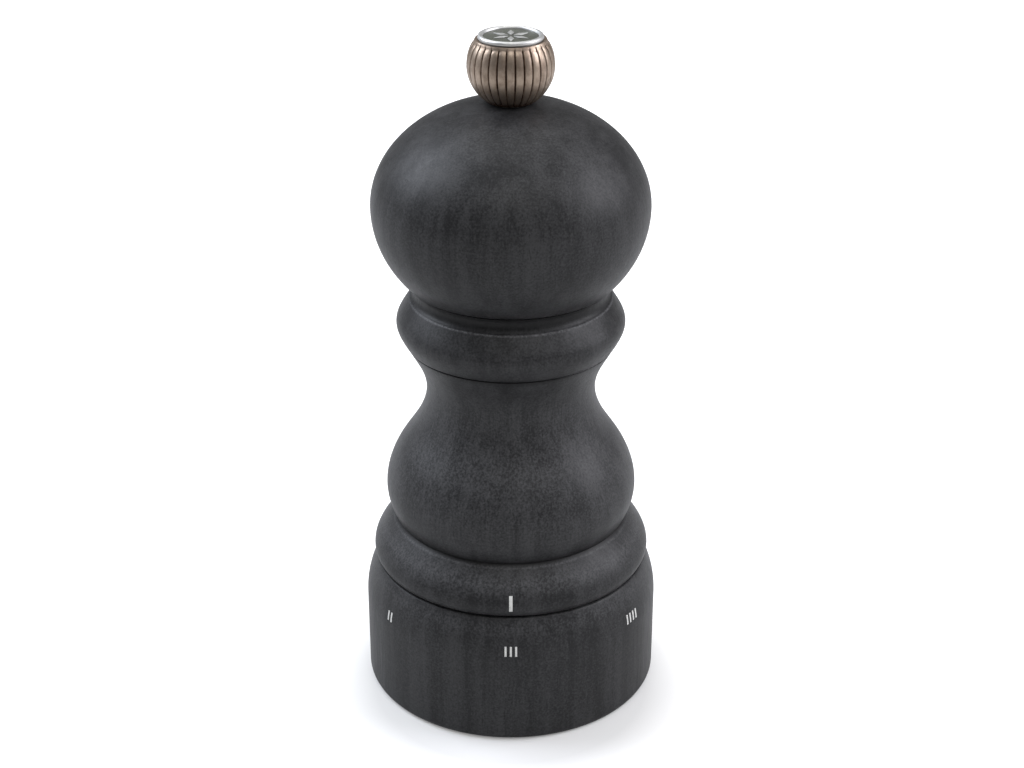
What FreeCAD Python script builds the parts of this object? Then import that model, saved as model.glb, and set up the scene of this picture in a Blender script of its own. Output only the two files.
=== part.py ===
"""Small turned pepper mill with a grind ring at its foot, built as its separate pieces.

Frame: millimetres, +Z up, origin at the centre of the foot, -Y towards the index mark.
The head turns the square shaft and the rotor. The ring at the foot turns a thread that raises
or lowers the stator, so it sets how coarse the mill grinds. The knob unscrews to free the head.
"""

import FreeCAD
import Part
import math
import os

V = FreeCAD.Vector
UP = V(0, 0, 1)
CENTRE = V(0, 0, 0)

# Clearances: running fits, sliding fits, and faces that only pass each other
RUNNING = 0.05
SLIDING = 0.10
PASSING = 0.30

# A thread ridge is sunk this far into its core, and driver slots are this deep
RIDGE_SINK = 0.1
SLOT_DEPTH = 0.5

# Grind ring, the turned foot of the mill
RING_R = 26.6
RING_H = 24.3
RING_SHOULDER_IN = 2.2
RING_SHOULDER_H = 8.5
RING_FOOT_ROUND = 1.4
SEAM_GAP = 0.4

# Radii of the grinder are drawn for this foot radius, and follow the ring's own
DRAWN_FOOT_R = 26.6
FOOT_RATIO = RING_R / DRAWN_FOOT_R

# Turned body, radii and heights above its own lower face
BODY_H = 52.9
CHAMBER_R = 11.0 * FOOT_RATIO
BEAD_FOOT_R = 24.3
BEAD_R = 24.95
BEAD_H = 7.8
BEAD_TOP_R = 21.3
QUIRK_R = 20.7
QUIRK_H = 0.5
BELLY_R = 22.4
BELLY_AT = 14.3
NECK_R = 14.9
NECK_AT = 33.3
NECK_TOP_R = 18.25
NECK_TOP_AT = 41.75
NECK_GROOVE_DEPTH = 0.2
NECK_GROOVE_H = 0.4
COLLAR_STEP_W = 0.25
COLLAR_STEP_H = 0.1
COLLAR_R = 19.95
COLLAR_AT = 45.7
COLLAR_TOP_R = 17.65
COLLAR_TOP_AT = 50.2
COVE_R = 16.8
MOUTH_R = 17.3

# Turned head, an oval set on the body
HEAD_R = 23.8
HEAD_WIDEST_AT = 13.9
HEAD_RISE = 18.15
HEAD_DROP = 20.5
HEAD_H = 31.8
HEAD_SEAT_R = 15.0
HEAD_EDGE_ROUND = 0.5
SPIGOT_H = 5.2
HEAD_STUD_BORE_DEPTH = 6.4

# Shaft: square bar, round journal at its foot, screw thread at its top
SHAFT_SIDE = 5.0
SHAFT_FOOT_BELOW_BRIDGE = 0.7
JOURNAL_R = 2.0
JOURNAL_ABOVE_WASHER = 0.8
STUD_R = 2.5
STUD_PITCH = 0.8
STUD_TURNS = 9
STUD_ABOVE_HEAD = 7.4
STUD_CHAMFER = 0.4
STUD_SHOULDER_DROP = 0.2

# Knob: reeded ball, bush, washer, and the rimmed disc with its rosette on top
BALL_R = 7.3
BALL_ABOVE_HEAD = 6.35
KNOB_GAP = 0.2
BALL_TOP_CUT = 4.3
REEDS = 30
REED_GROOVE_W = 0.6
REED_GROOVE_DEPTH = 0.26
REED_FROM_DEG = -42.0
REED_TO_DEG = 30.0
BUSH_R = 3.3
BUSH_H = 7.2
WASHER_R = 3.3
WASHER_T = 0.6
BEZEL_R = 5.45
BEZEL_WALL = 0.85
BEZEL_H = 1.1
BEZEL_PROUD = 0.8
DISC_T = 0.7
PETALS = 6
PETAL_IN_R = 0.55
PETAL_OUT_R = 3.3
PETAL_WAIST_R = 1.75
PETAL_W = 1.1
PETAL_PROUD = 0.15

# Drive plate under the head
PLATE_R = 8.0
PLATE_T = 1.5
PLATE_SCREW_R = 1.0
PLATE_SCREW_HEAD_R = 1.8
PLATE_SCREW_L = 11.0
PLATE_SCREW_AT = 5.9
PLATE_SCREWS = 3

# Base housing: flange let into the body, spigot for the ring, two posts for the bridge
FLANGE_R = 20.5 * FOOT_RATIO
FLANGE_T = 4.0
FLANGE_PROUD = 0.7
SPIGOT_R = 18.4 * FOOT_RATIO
SPIGOT_BORE_R = 12.6 * FOOT_RATIO
SPIGOT_DROP = 3.2
POST_IN_R = 13.7 * FOOT_RATIO
POST_OUT_R = 16.6 * FOOT_RATIO
POST_W = 9.0
POST_FOOT_BELOW_STATOR = 1.7
HOUSING_SCREW_R = 1.25
HOUSING_SCREW_HEAD_R = 2.3
HOUSING_SCREW_L = 15.0
HOUSING_SLOT_DEPTH = 0.6
HOUSING_SCREW_AT = 15.4 * FOOT_RATIO
HOUSING_SCREW_ANGLES = (90.0, 210.0, 330.0)

# Shaft guide, a three-armed plate on the housing
GUIDE_TO_SCREW_WALL = 1.15
GUIDE_T = 1.2
GUIDE_HUB_R = 5.2
GUIDE_ARM_W = 2.6
GUIDE_ARMS = 3

# Bridge under the grinder, with its bush and screws
BRIDGE_T = 1.2
BRIDGE_W = 7.0
BRIDGE_HUB_R = 5.2
BRIDGE_SCREW_R = 0.9
BRIDGE_SCREW_HEAD_R = 1.9
BRIDGE_SCREW_HEAD_H = 1.2
BRIDGE_SCREW_L = 6.5
BRIDGE_BUSH_R = 3.2
BRIDGE_BUSH_FLANGE_R = 4.6
BRIDGE_BUSH_FLANGE_T = 0.8
BRIDGE_BUSH_DROP = 0.4

# Ring insert: threaded sleeve pressed into the grind ring
RING_BORE_R = 21.0 * FOOT_RATIO
INSERT_FOOT_Z = 3.0
INSERT_MOUTH_R = 18.5 * FOOT_RATIO
SLEEVE_BELOW_STATOR = 2.2
INSERT_THREAD_R = 17.1 * FOOT_RATIO
CIRCLIP_T = 1.0
CIRCLIP_BITE = 0.9
CIRCLIP_GAP_DEG = 24.0
SETTINGS = 6
SETTING_AT_REST = 3
SETTING_STEP_DEG = 55.0

# Click spring that holds each setting
CLICK_AT_R = 19.4 * FOOT_RATIO
CLICK_ANGLE = 270.0
CLICK_LENGTH = 6.0
CLICK_W = 1.4
CLICK_T = 0.3
CLICK_NOSE_R = 0.8
CLICK_NOSE_PROUD = 0.45
CLICK_POCKET_H = 1.3

# Stator, its carrier, and the adjusting thread between carrier and insert
STATOR_R = 12.4 * FOOT_RATIO
STATOR_BELOW_SPIGOT = 0.6
STATOR_H = 11.0
STATOR_FOOT_TIP_R = 11.0 * FOOT_RATIO
STATOR_WAIST_TIP_R = 9.5 * FOOT_RATIO
STATOR_MOUTH_TIP_R = 10.6 * FOOT_RATIO
FINE_H = 5.0
FINE_TOOTH = 0.5
FINE_TEETH = 36
COARSE_GROOVES = 8
COARSE_GROOVE_DEPTH = 1.2
CARRIER_LIP_R = 11.7 * FOOT_RATIO
CARRIER_LIP_T = 0.8
CARRIER_H = 11.2
ADJUST_PITCH = 1.2
ADJUST_TURNS = 3
ADJUST_RIDGE_BITE = 0.4
ADJUST_RIDGE_FOOT = 0.8
ADJUST_RIDGE_TIP = 0.35
ADJUST_START_ABOVE_FOOT = 3.2
ADJUST_SPARE_TURNS = 2

# Rotor, its spring and clips
ROTOR_BELOW_STATOR = 0.4
ROTOR_H = 11.2
ROTOR_FOOT_TIP_R = 10.65 * FOOT_RATIO
ROTOR_WAIST_TIP_R = 9.05 * FOOT_RATIO
ROTOR_NOSE_TIP_R = 4.9 * FOOT_RATIO
ROTOR_LOBES = 6
ROTOR_LOBE_DEPTH = 1.6
ROTOR_TWIST_DEG = 50.0
FINE_TWIST_DEG = 10.0
TWIST_SPANS = 4
ROTOR_HOLLOW_R = 6.2 * FOOT_RATIO
ROTOR_HOLLOW_H = 4.6
SPRING_R = 5.0 * FOOT_RATIO
SPRING_WIRE = 0.9
SPRING_TURNS = 2.6
THRUST_WASHER_R = 5.8 * FOOT_RATIO
THRUST_WASHER_T = 0.5
THRUST_WASHER_BORE_R = 2.4
CLIP_T = 0.8
CLIP_R = 4.9
CLIP_IN_R = 2.75
CLIP_GAP_DEG = 70.0

# Marks: filled bars let into the ring and the bead
BAR_DEPTH = 0.15
BAR_W = 0.38
BAR_H = 1.85
BAR_PITCH = 0.92
BAR_TOP_BELOW_RING_TOP = 4.65
INDEX_W = 0.62
INDEX_H = 2.7
INDEX_FOOT = 1.35

# Radii and levels that follow from the sizes above
RING_TOP_R = RING_R - RING_SHOULDER_IN
CIRCLIP_IN_R = SPIGOT_R - CIRCLIP_BITE
CIRCLIP_OUT_R = SPIGOT_R + CIRCLIP_BITE
CARRIER_CORE_R = INSERT_THREAD_R - PASSING
ADJUST_RIDGE_R = INSERT_THREAD_R + ADJUST_RIDGE_BITE
BODY_Z = RING_H + SEAM_GAP
BODY_TOP_Z = BODY_Z + BODY_H
HEAD_TOP_Z = BODY_TOP_Z + HEAD_H
HEAD_SPIGOT_Z = BODY_TOP_Z - SPIGOT_H
SPIGOT_HEAD_R = CHAMBER_R - PASSING
FLANGE_Z = BODY_Z - FLANGE_PROUD
FLANGE_TOP_Z = FLANGE_Z + FLANGE_T
HOUSING_SPIGOT_Z = FLANGE_Z - SPIGOT_DROP
GUIDE_R = HOUSING_SCREW_AT - HOUSING_SCREW_R - GUIDE_TO_SCREW_WALL
GUIDE_Z = FLANGE_TOP_Z - GUIDE_T
SHAFT_CORNER_R = SHAFT_SIDE / math.sqrt(2.0)
SHAFT_BORE_R = SHAFT_CORNER_R + PASSING
STUD_SHOULDER_Z = HEAD_TOP_Z - HEAD_STUD_BORE_DEPTH - STUD_SHOULDER_DROP
STUD_TOP_Z = HEAD_TOP_Z + STUD_ABOVE_HEAD
BALL_Z = HEAD_TOP_Z + BALL_ABOVE_HEAD
KNOB_Z = HEAD_TOP_Z + KNOB_GAP
KNOB_TOP_Z = BALL_Z + BALL_TOP_CUT
STATOR_Z = HOUSING_SPIGOT_Z - STATOR_BELOW_SPIGOT - STATOR_H
POST_FOOT_Z = STATOR_Z - POST_FOOT_BELOW_STATOR
ROTOR_Z = STATOR_Z - ROTOR_BELOW_STATOR
ROTOR_TOP_Z = ROTOR_Z + ROTOR_H
ADJUST_START_Z = STATOR_Z + ADJUST_START_ABOVE_FOOT
BRIDGE_Z = POST_FOOT_Z - BRIDGE_T
SHAFT_FOOT_Z = BRIDGE_Z - SHAFT_FOOT_BELOW_BRIDGE
BRIDGE_SCREW_AT = (POST_IN_R + POST_OUT_R) / 2.0
BUSH_TOP_Z = POST_FOOT_Z + BRIDGE_BUSH_FLANGE_T
WASHER_TOP_Z = BUSH_TOP_Z + THRUST_WASHER_T
JOURNAL_TOP_Z = WASHER_TOP_Z + JOURNAL_ABOVE_WASHER
SLEEVE_Z = STATOR_Z - SLEEVE_BELOW_STATOR
SLEEVE_TOP_Z = HOUSING_SPIGOT_Z - PASSING
INSERT_COLLAR_R = SPIGOT_R + SLIDING
CIRCLIP_Z = HOUSING_SPIGOT_Z + SPIGOT_DROP / 2.0 - CIRCLIP_T / 2.0
GUIDE_CLIP_Z = GUIDE_Z - CLIP_T
HOLLOW_TOP_Z = ROTOR_Z + ROTOR_HOLLOW_H


def polar(radius, angle_deg, z=0.0):
    """Point at a radius, an angle about the mill's axis and a height."""
    angle = math.radians(angle_deg)
    return V(radius * math.cos(angle), radius * math.sin(angle), z)


def profile(radius, z):
    """Point of a turned profile, drawn in the XZ plane."""
    return V(radius, 0, z)


def line(start, end):
    return Part.makeLine(start, end)


def through(*points):
    """Smooth curve through points of a turned profile."""
    curve = Part.BSplineCurve()
    curve.interpolate([profile(*p) for p in points])
    return curve.toShape()


def arc(start, middle, end):
    return Part.Arc(profile(*start), profile(*middle), profile(*end)).toShape()


def polyline(*points):
    """Edges through points of a turned profile, in order."""
    spots = [profile(*p) for p in points]
    return [line(a, b) for a, b in zip(spots, spots[1:])]


def turned(edges):
    """Solid turned about the mill's axis from a closed profile."""
    face = Part.Face(Part.Wire(edges))
    return face.revolve(CENTRE, UP, 360)


def cylinder(radius, z0, z1, centre=CENTRE):
    return Part.makeCylinder(radius, z1 - z0, V(centre.x, centre.y, z0), UP)


def tube(inner, outer, z0, z1):
    return cylinder(outer, z0, z1).cut(cylinder(inner, z0, z1))


def block(x, y, z0, z1, centre=CENTRE):
    """Box of widths x and y about a centre, from z0 to z1."""
    return Part.makeBox(x, y, z1 - z0, V(centre.x - x / 2.0, centre.y - y / 2.0, z0))


def turned_by(shape, angle_deg):
    copy = shape.copy()
    copy.rotate(CENTRE, UP, angle_deg)
    return copy


def around(shape, count, first_deg=0.0):
    """Copies of a shape spaced evenly about the mill's axis."""
    return [turned_by(shape, first_deg + 360.0 * i / count) for i in range(count)]


def split_ring(inner, outer, z0, z1, gap_deg, gap_at_deg):
    """Flat ring with a gap, as a snap ring has."""
    ring = tube(inner, outer, z0, z1)
    wedge = Part.makePolygon([
        V(0, 0, z0),
        polar(2 * outer, -gap_deg / 2.0, z0),
        polar(2 * outer, gap_deg / 2.0, z0),
        V(0, 0, z0),
    ])
    cutter = Part.Face(wedge).extrude(V(0, 0, z1 - z0))
    return ring.cut(turned_by(cutter, gap_at_deg))


def countersunk(shank_r, head_r, length, z_face, centre):
    """Countersunk screw driven upwards, its head flush with the face at z_face."""
    head_h = head_r - shank_r
    head = Part.makeCone(head_r, shank_r, head_h, V(centre.x, centre.y, z_face), UP)
    shank = cylinder(shank_r, z_face + head_h, z_face + length, centre)
    return head.fuse(shank)


def cross_slot(head_r, depth, z_face, centre):
    """Cross recess for a driver, cut upwards from the face at z_face."""
    width = 0.3 * head_r
    long_way = 1.2 * head_r
    bar = block(long_way, width, z_face - depth, z_face + depth, centre)
    other = block(width, long_way, z_face - depth, z_face + depth, centre)
    return bar.fuse(other)


def helical_ridge(root_r, tip_r, foot, tip, pitch, turns, z_start):
    """Thread ridge of trapezoid section that climbs to the right."""
    helix = Part.Wire(Part.makeHelix(pitch, pitch * turns, root_r))
    section = Part.makePolygon([
        profile(root_r, -foot / 2.0),
        profile(tip_r, -tip / 2.0),
        profile(tip_r, tip / 2.0),
        profile(root_r, foot / 2.0),
        profile(root_r, -foot / 2.0),
    ])
    ridge = helix.makePipeShell([Part.Wire(section)], True, True)
    ridge = Part.Solid(ridge) if ridge.ShapeType == "Shell" else ridge
    ridge.translate(V(0, 0, z_start))
    return ridge


def toothed_wire(tip_r, root_r, teeth, turn_deg, z):
    """Closed ring of straight-sided teeth at one height."""
    half = 180.0 / teeth
    spots = []
    for i in range(teeth):
        spots.append(polar(tip_r, turn_deg + 2 * i * half, z))
        spots.append(polar(root_r, turn_deg + (2 * i + 1) * half, z))
    return Part.makePolygon(spots + spots[:1])


def toothed_cone(low, high, teeth, twist_deg, spans):
    """Twisted toothed cone between two (tip radius, root radius, z) ends."""
    wires = []
    for i in range(spans + 1):
        t = i / spans
        tip_r, root_r, z = (a + (b - a) * t for a, b in zip(low, high))
        wires.append(toothed_wire(tip_r, root_r, teeth, twist_deg * t, z))
    return Part.makeLoft(wires, True, True)


def ring_blank(inset=0.0):
    """Turned outside of the grind ring, drawn in by an inset and bored out."""
    side_r = RING_R - inset
    top_r = RING_TOP_R - inset
    shoulder_z = RING_H - RING_SHOULDER_H
    foot = RING_FOOT_ROUND
    bend = math.sqrt(0.5)
    foot_middle = (side_r - foot + foot * bend, foot - foot * bend)
    shoulder_middle = (side_r - 0.3 * (side_r - top_r), RING_H - 0.42 * RING_SHOULDER_H)
    return turned([
        line(profile(RING_BORE_R, 0), profile(side_r - foot, 0)),
        arc((side_r - foot, 0), foot_middle, (side_r, foot)),
        line(profile(side_r, foot), profile(side_r, shoulder_z)),
        arc((side_r, shoulder_z), shoulder_middle, (top_r, RING_H)),
        line(profile(top_r, RING_H), profile(RING_BORE_R, RING_H)),
        line(profile(RING_BORE_R, RING_H), profile(RING_BORE_R, 0)),
    ])


def setting_bars(setting):
    """Boxes for the tally of one setting, at the front of the ring."""
    top = RING_H - BAR_TOP_BELOW_RING_TOP
    reach = 2 * BAR_PITCH
    bars = []
    for i in range(setting):
        x = (i - (setting - 1) / 2.0) * BAR_PITCH
        bars.append(block(BAR_W, reach, top - BAR_H, top, V(x, -RING_R, 0)))
    return bars


def setting_angles():
    """Angles of the settings round the ring, from the one at rest."""
    return [SETTING_STEP_DEG * (setting - SETTING_AT_REST) for setting in range(1, SETTINGS + 1)]


def make_setting_marks():
    """Filled tallies, one to six bars, a step apart round the ring."""
    skin = ring_blank().cut(ring_blank(BAR_DEPTH))
    marks = []
    for setting, angle in enumerate(setting_angles(), 1):
        for bar in setting_bars(setting):
            marks.append(skin.common(turned_by(bar, angle)))
    return Part.Compound([solid for mark in marks for solid in mark.Solids])


def make_grind_ring(marks):
    return ring_blank().cut(marks)


def body_edges(inset=0.0):
    """Outside of the body from its lower face to its mouth, drawn in by an inset."""
    z = BODY_Z
    bead_top = z + BEAD_H
    belly_foot = bead_top + QUIRK_H
    neck_top = z + NECK_TOP_AT
    collar_z = neck_top + NECK_GROOVE_H
    collar_top = z + COLLAR_TOP_AT

    def at(radius, height):
        return (radius - inset, height)

    bead = through(
        at(BEAD_FOOT_R, z),
        at(BEAD_R, z + 0.19 * BEAD_H),
        at(BEAD_R - 0.1 * (BEAD_R - BEAD_TOP_R), z + 0.42 * BEAD_H),
        at(BEAD_R - 0.48 * (BEAD_R - BEAD_TOP_R), z + 0.71 * BEAD_H),
        at(BEAD_TOP_R, bead_top),
    )
    slope = NECK_AT - BELLY_AT
    waist = BELLY_R - NECK_R
    flare = NECK_TOP_R - NECK_R
    flare_h = NECK_TOP_AT - NECK_AT
    neck = through(
        at(QUIRK_R, belly_foot),
        at(BELLY_R, z + BELLY_AT),
        at(BELLY_R - 0.29 * waist, z + BELLY_AT + 0.37 * slope),
        at(BELLY_R - 0.72 * waist, z + BELLY_AT + 0.63 * slope),
        at(NECK_R, z + NECK_AT),
        at(NECK_R + 0.31 * flare, z + NECK_AT + 0.5 * flare_h),
        at(NECK_R + 0.71 * flare, z + NECK_AT + 0.8 * flare_h),
        at(NECK_TOP_R, neck_top),
    )
    groove_foot = at(NECK_TOP_R - NECK_GROOVE_DEPTH, neck_top + 0.5 * NECK_GROOVE_H)
    collar_foot = at(NECK_TOP_R + COLLAR_STEP_W, collar_z)
    collar = through(
        collar_foot,
        at(COLLAR_R - 0.45 * (COLLAR_R - NECK_TOP_R), collar_z + 0.34 * (z + COLLAR_AT - collar_z)),
        at(COLLAR_R, z + COLLAR_AT),
        at(COLLAR_R - 0.43 * (COLLAR_R - COLLAR_TOP_R), z + COLLAR_AT + 0.56 * (COLLAR_TOP_AT - COLLAR_AT)),
        at(COLLAR_TOP_R, collar_top),
    )
    cove_foot = at(COLLAR_TOP_R - COLLAR_STEP_W, collar_top + COLLAR_STEP_H)
    cove = arc(
        cove_foot,
        at(COVE_R, (collar_top + BODY_TOP_Z) / 2.0),
        at(MOUTH_R, BODY_TOP_Z),
    )
    return [
        bead,
        line(profile(*at(BEAD_TOP_R, bead_top)), profile(*at(QUIRK_R, belly_foot))),
        neck,
        line(profile(*at(NECK_TOP_R, neck_top)), profile(*groove_foot)),
        line(profile(*groove_foot), profile(*collar_foot)),
        collar,
        line(profile(*at(COLLAR_TOP_R, collar_top)), profile(*cove_foot)),
        cove,
    ]


def body_blank(inset=0.0):
    """Solid turned outside of the body."""
    foot_r = BEAD_FOOT_R - inset
    return turned(body_edges(inset) + polyline(
        (MOUTH_R - inset, BODY_TOP_Z),
        (0, BODY_TOP_Z),
        (0, BODY_Z),
        (foot_r, BODY_Z),
    ))


def make_index_mark():
    """Filled bar on the bead, over the tally that is set."""
    skin = body_blank().cut(body_blank(BAR_DEPTH))
    foot = BODY_Z + INDEX_FOOT
    reach = 4 * INDEX_W
    bar = block(INDEX_W, reach, foot, foot + INDEX_H, V(0, -BEAD_R, 0))
    return skin.common(bar)


def make_mill_body(index_mark):
    """Turned body: pepper chamber, recess for the housing flange, pilot holes."""
    body = body_blank().cut(cylinder(CHAMBER_R, BODY_Z, BODY_TOP_Z))
    body = body.cut(cylinder(FLANGE_R, BODY_Z, FLANGE_TOP_Z))
    pilot_top = HOUSING_SPIGOT_Z + HOUSING_SCREW_L
    for spot in housing_screw_spots():
        body = body.cut(cylinder(HOUSING_SCREW_R, FLANGE_TOP_Z, pilot_top, spot))
    return body.cut(index_mark)


def housing_screw_spots():
    return [polar(HOUSING_SCREW_AT, angle) for angle in HOUSING_SCREW_ANGLES]


def housing_screw(spot):
    return countersunk(HOUSING_SCREW_R, HOUSING_SCREW_HEAD_R, HOUSING_SCREW_L, HOUSING_SPIGOT_Z, spot)


def make_housing_screws():
    screws = []
    for spot in housing_screw_spots():
        slot = cross_slot(HOUSING_SCREW_HEAD_R, HOUSING_SLOT_DEPTH, HOUSING_SPIGOT_Z, spot)
        screws.append(housing_screw(spot).cut(slot))
    return Part.Compound(screws)


def click_pocket():
    """Slot in the flange's underside that holds the click spring."""
    spot = polar(CLICK_AT_R, CLICK_ANGLE)
    return block(CLICK_LENGTH, CLICK_W, FLANGE_Z, FLANGE_Z + CLICK_POCKET_H, spot)


def make_click_spring():
    """Leaf that bears on the pocket's roof, with a nose in the insert's dimple."""
    spot = polar(CLICK_AT_R, CLICK_ANGLE)
    roof = FLANGE_Z + CLICK_POCKET_H
    foot_l = CLICK_LENGTH / 4.0
    leaf_z = FLANGE_Z + CLICK_T
    leaf = block(CLICK_LENGTH / 2.0, CLICK_W, leaf_z, leaf_z + CLICK_T, spot)
    for side in (-1, 1):
        inner = spot.x + side * CLICK_LENGTH / 4.0
        outer = spot.x + side * (CLICK_LENGTH / 4.0 + foot_l)
        y0 = spot.y - CLICK_W / 2.0
        arm = Part.makePolygon([
            V(inner, y0, leaf_z),
            V(outer, y0, roof - CLICK_T),
            V(outer, y0, roof),
            V(inner, y0, leaf_z + CLICK_T),
            V(inner, y0, leaf_z),
        ])
        leaf = leaf.fuse(Part.Face(arm).extrude(V(0, CLICK_W, 0)))
    nose_drop = CLICK_T + CLICK_NOSE_PROUD
    nose_z = leaf_z - nose_drop + CLICK_NOSE_R
    nose = Part.makeSphere(CLICK_NOSE_R, V(spot.x, spot.y, nose_z))
    nose = nose.common(block(CLICK_LENGTH, CLICK_W, nose_z - CLICK_NOSE_R, leaf_z + CLICK_T, spot))
    return leaf.fuse(nose).removeSplitter()


def make_base_housing():
    """Flange, spigot and two posts in one moulding."""
    flange = tube(CHAMBER_R, FLANGE_R, FLANGE_Z, FLANGE_TOP_Z)
    spigot = tube(SPIGOT_BORE_R, SPIGOT_R, HOUSING_SPIGOT_Z, FLANGE_Z)
    posts = tube(POST_IN_R, POST_OUT_R, POST_FOOT_Z, HOUSING_SPIGOT_Z)
    posts = posts.common(block(4 * POST_OUT_R, POST_W, POST_FOOT_Z, HOUSING_SPIGOT_Z))
    housing = flange.fuse([spigot] + posts.Solids)
    cuts = [
        cylinder(GUIDE_R, GUIDE_Z, FLANGE_TOP_Z),
        tube(CIRCLIP_IN_R, SPIGOT_R, CIRCLIP_Z, CIRCLIP_Z + CIRCLIP_T),
        click_pocket(),
    ]
    cuts.extend(housing_screw(spot) for spot in housing_screw_spots())
    for side in (-1, 1):
        hole_top = POST_FOOT_Z + BRIDGE_SCREW_L - BRIDGE_T
        cuts.append(cylinder(BRIDGE_SCREW_R, POST_FOOT_Z, hole_top, V(side * BRIDGE_SCREW_AT, 0, 0)))
    return housing.cut(cuts).removeSplitter()


def make_shaft_guide():
    """Three-armed plate: the shaft turns in its hub and pepper falls between its arms."""
    rim = tube(CHAMBER_R, GUIDE_R, GUIDE_Z, FLANGE_TOP_Z)
    hub = cylinder(GUIDE_HUB_R, GUIDE_Z, FLANGE_TOP_Z)
    reach = (CHAMBER_R + GUIDE_R) / 2.0
    arm = block(reach, GUIDE_ARM_W, GUIDE_Z, FLANGE_TOP_Z, V(reach / 2.0, 0, 0))
    plate = rim.fuse([hub] + around(arm, GUIDE_ARMS, 90.0))
    return plate.cut(cylinder(SHAFT_CORNER_R + SLIDING, GUIDE_Z, FLANGE_TOP_Z)).removeSplitter()


def make_bridge():
    """Stamped bar across the outlet, screwed to the two posts."""
    bar = block(4 * POST_OUT_R, BRIDGE_W, BRIDGE_Z, POST_FOOT_Z)
    bar = bar.common(cylinder(POST_OUT_R, BRIDGE_Z, POST_FOOT_Z))
    bar = bar.fuse(cylinder(BRIDGE_HUB_R, BRIDGE_Z, POST_FOOT_Z))
    holes = [cylinder(BRIDGE_BUSH_R, BRIDGE_Z, POST_FOOT_Z)]
    for side in (-1, 1):
        holes.append(cylinder(BRIDGE_SCREW_R, BRIDGE_Z, POST_FOOT_Z, V(side * BRIDGE_SCREW_AT, 0, 0)))
    return bar.cut(holes).removeSplitter()


def make_bridge_screws():
    screws = []
    head_z = BRIDGE_Z - BRIDGE_SCREW_HEAD_H
    for side in (-1, 1):
        spot = V(side * BRIDGE_SCREW_AT, 0, 0)
        head = cylinder(BRIDGE_SCREW_HEAD_R, head_z, BRIDGE_Z, spot)
        lower_edges = [edge for edge in head.Edges if edge.BoundBox.ZMax < (head_z + BRIDGE_Z) / 2.0]
        head = head.makeFillet(0.5 * BRIDGE_SCREW_HEAD_H, lower_edges)
        shank = cylinder(BRIDGE_SCREW_R, BRIDGE_Z, BRIDGE_Z + BRIDGE_SCREW_L, spot)
        screw = head.fuse(shank)
        screws.append(screw.cut(cross_slot(BRIDGE_SCREW_HEAD_R, SLOT_DEPTH, head_z, spot)))
    return Part.Compound(screws)


def make_bridge_bush():
    """Flanged bearing for the shaft's foot."""
    return turned(polyline(
        (JOURNAL_R + RUNNING, BRIDGE_Z - BRIDGE_BUSH_DROP),
        (BRIDGE_BUSH_R, BRIDGE_Z - BRIDGE_BUSH_DROP),
        (BRIDGE_BUSH_R, POST_FOOT_Z),
        (BRIDGE_BUSH_FLANGE_R, POST_FOOT_Z),
        (BRIDGE_BUSH_FLANGE_R, BUSH_TOP_Z),
        (JOURNAL_R + RUNNING, BUSH_TOP_Z),
        (JOURNAL_R + RUNNING, BRIDGE_Z - BRIDGE_BUSH_DROP),
    ))


def make_ring_circlip():
    """Snap ring that holds the insert up on the housing spigot."""
    return split_ring(CIRCLIP_IN_R, CIRCLIP_OUT_R, CIRCLIP_Z, CIRCLIP_Z + CIRCLIP_T, CIRCLIP_GAP_DEG, 90.0)


def make_ring_insert():
    """Sleeve with the adjusting thread inside and a dimple for each setting on top."""
    groove_z = CIRCLIP_Z - SLIDING
    insert = turned(polyline(
        (INSERT_MOUTH_R, INSERT_FOOT_Z),
        (RING_BORE_R, INSERT_FOOT_Z),
        (RING_BORE_R, FLANGE_Z),
        (INSERT_COLLAR_R, FLANGE_Z),
        (INSERT_COLLAR_R, groove_z + CIRCLIP_T + 2 * SLIDING),
        (CIRCLIP_OUT_R + SLIDING, groove_z + CIRCLIP_T + 2 * SLIDING),
        (CIRCLIP_OUT_R + SLIDING, groove_z),
        (INSERT_COLLAR_R, groove_z),
        (INSERT_COLLAR_R, SLEEVE_TOP_Z),
        (INSERT_THREAD_R, SLEEVE_TOP_Z),
        (INSERT_THREAD_R, SLEEVE_Z),
        (INSERT_MOUTH_R, INSERT_FOOT_Z),
    ))
    clearance = SLIDING
    thread = helical_ridge(
        INSERT_THREAD_R - PASSING,
        ADJUST_RIDGE_R + clearance,
        ADJUST_RIDGE_FOOT + 2 * clearance,
        ADJUST_RIDGE_TIP + 2 * clearance,
        ADJUST_PITCH,
        ADJUST_TURNS + 2 * ADJUST_SPARE_TURNS,
        ADJUST_START_Z - ADJUST_SPARE_TURNS * ADJUST_PITCH,
    )
    insert = insert.cut(thread)
    nose_z = FLANGE_Z - CLICK_NOSE_PROUD + CLICK_NOSE_R
    spot = polar(CLICK_AT_R, CLICK_ANGLE, nose_z)
    dimple = Part.makeSphere(CLICK_NOSE_R + SLIDING, spot)
    return insert.cut([turned_by(dimple, angle) for angle in setting_angles()])


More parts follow.
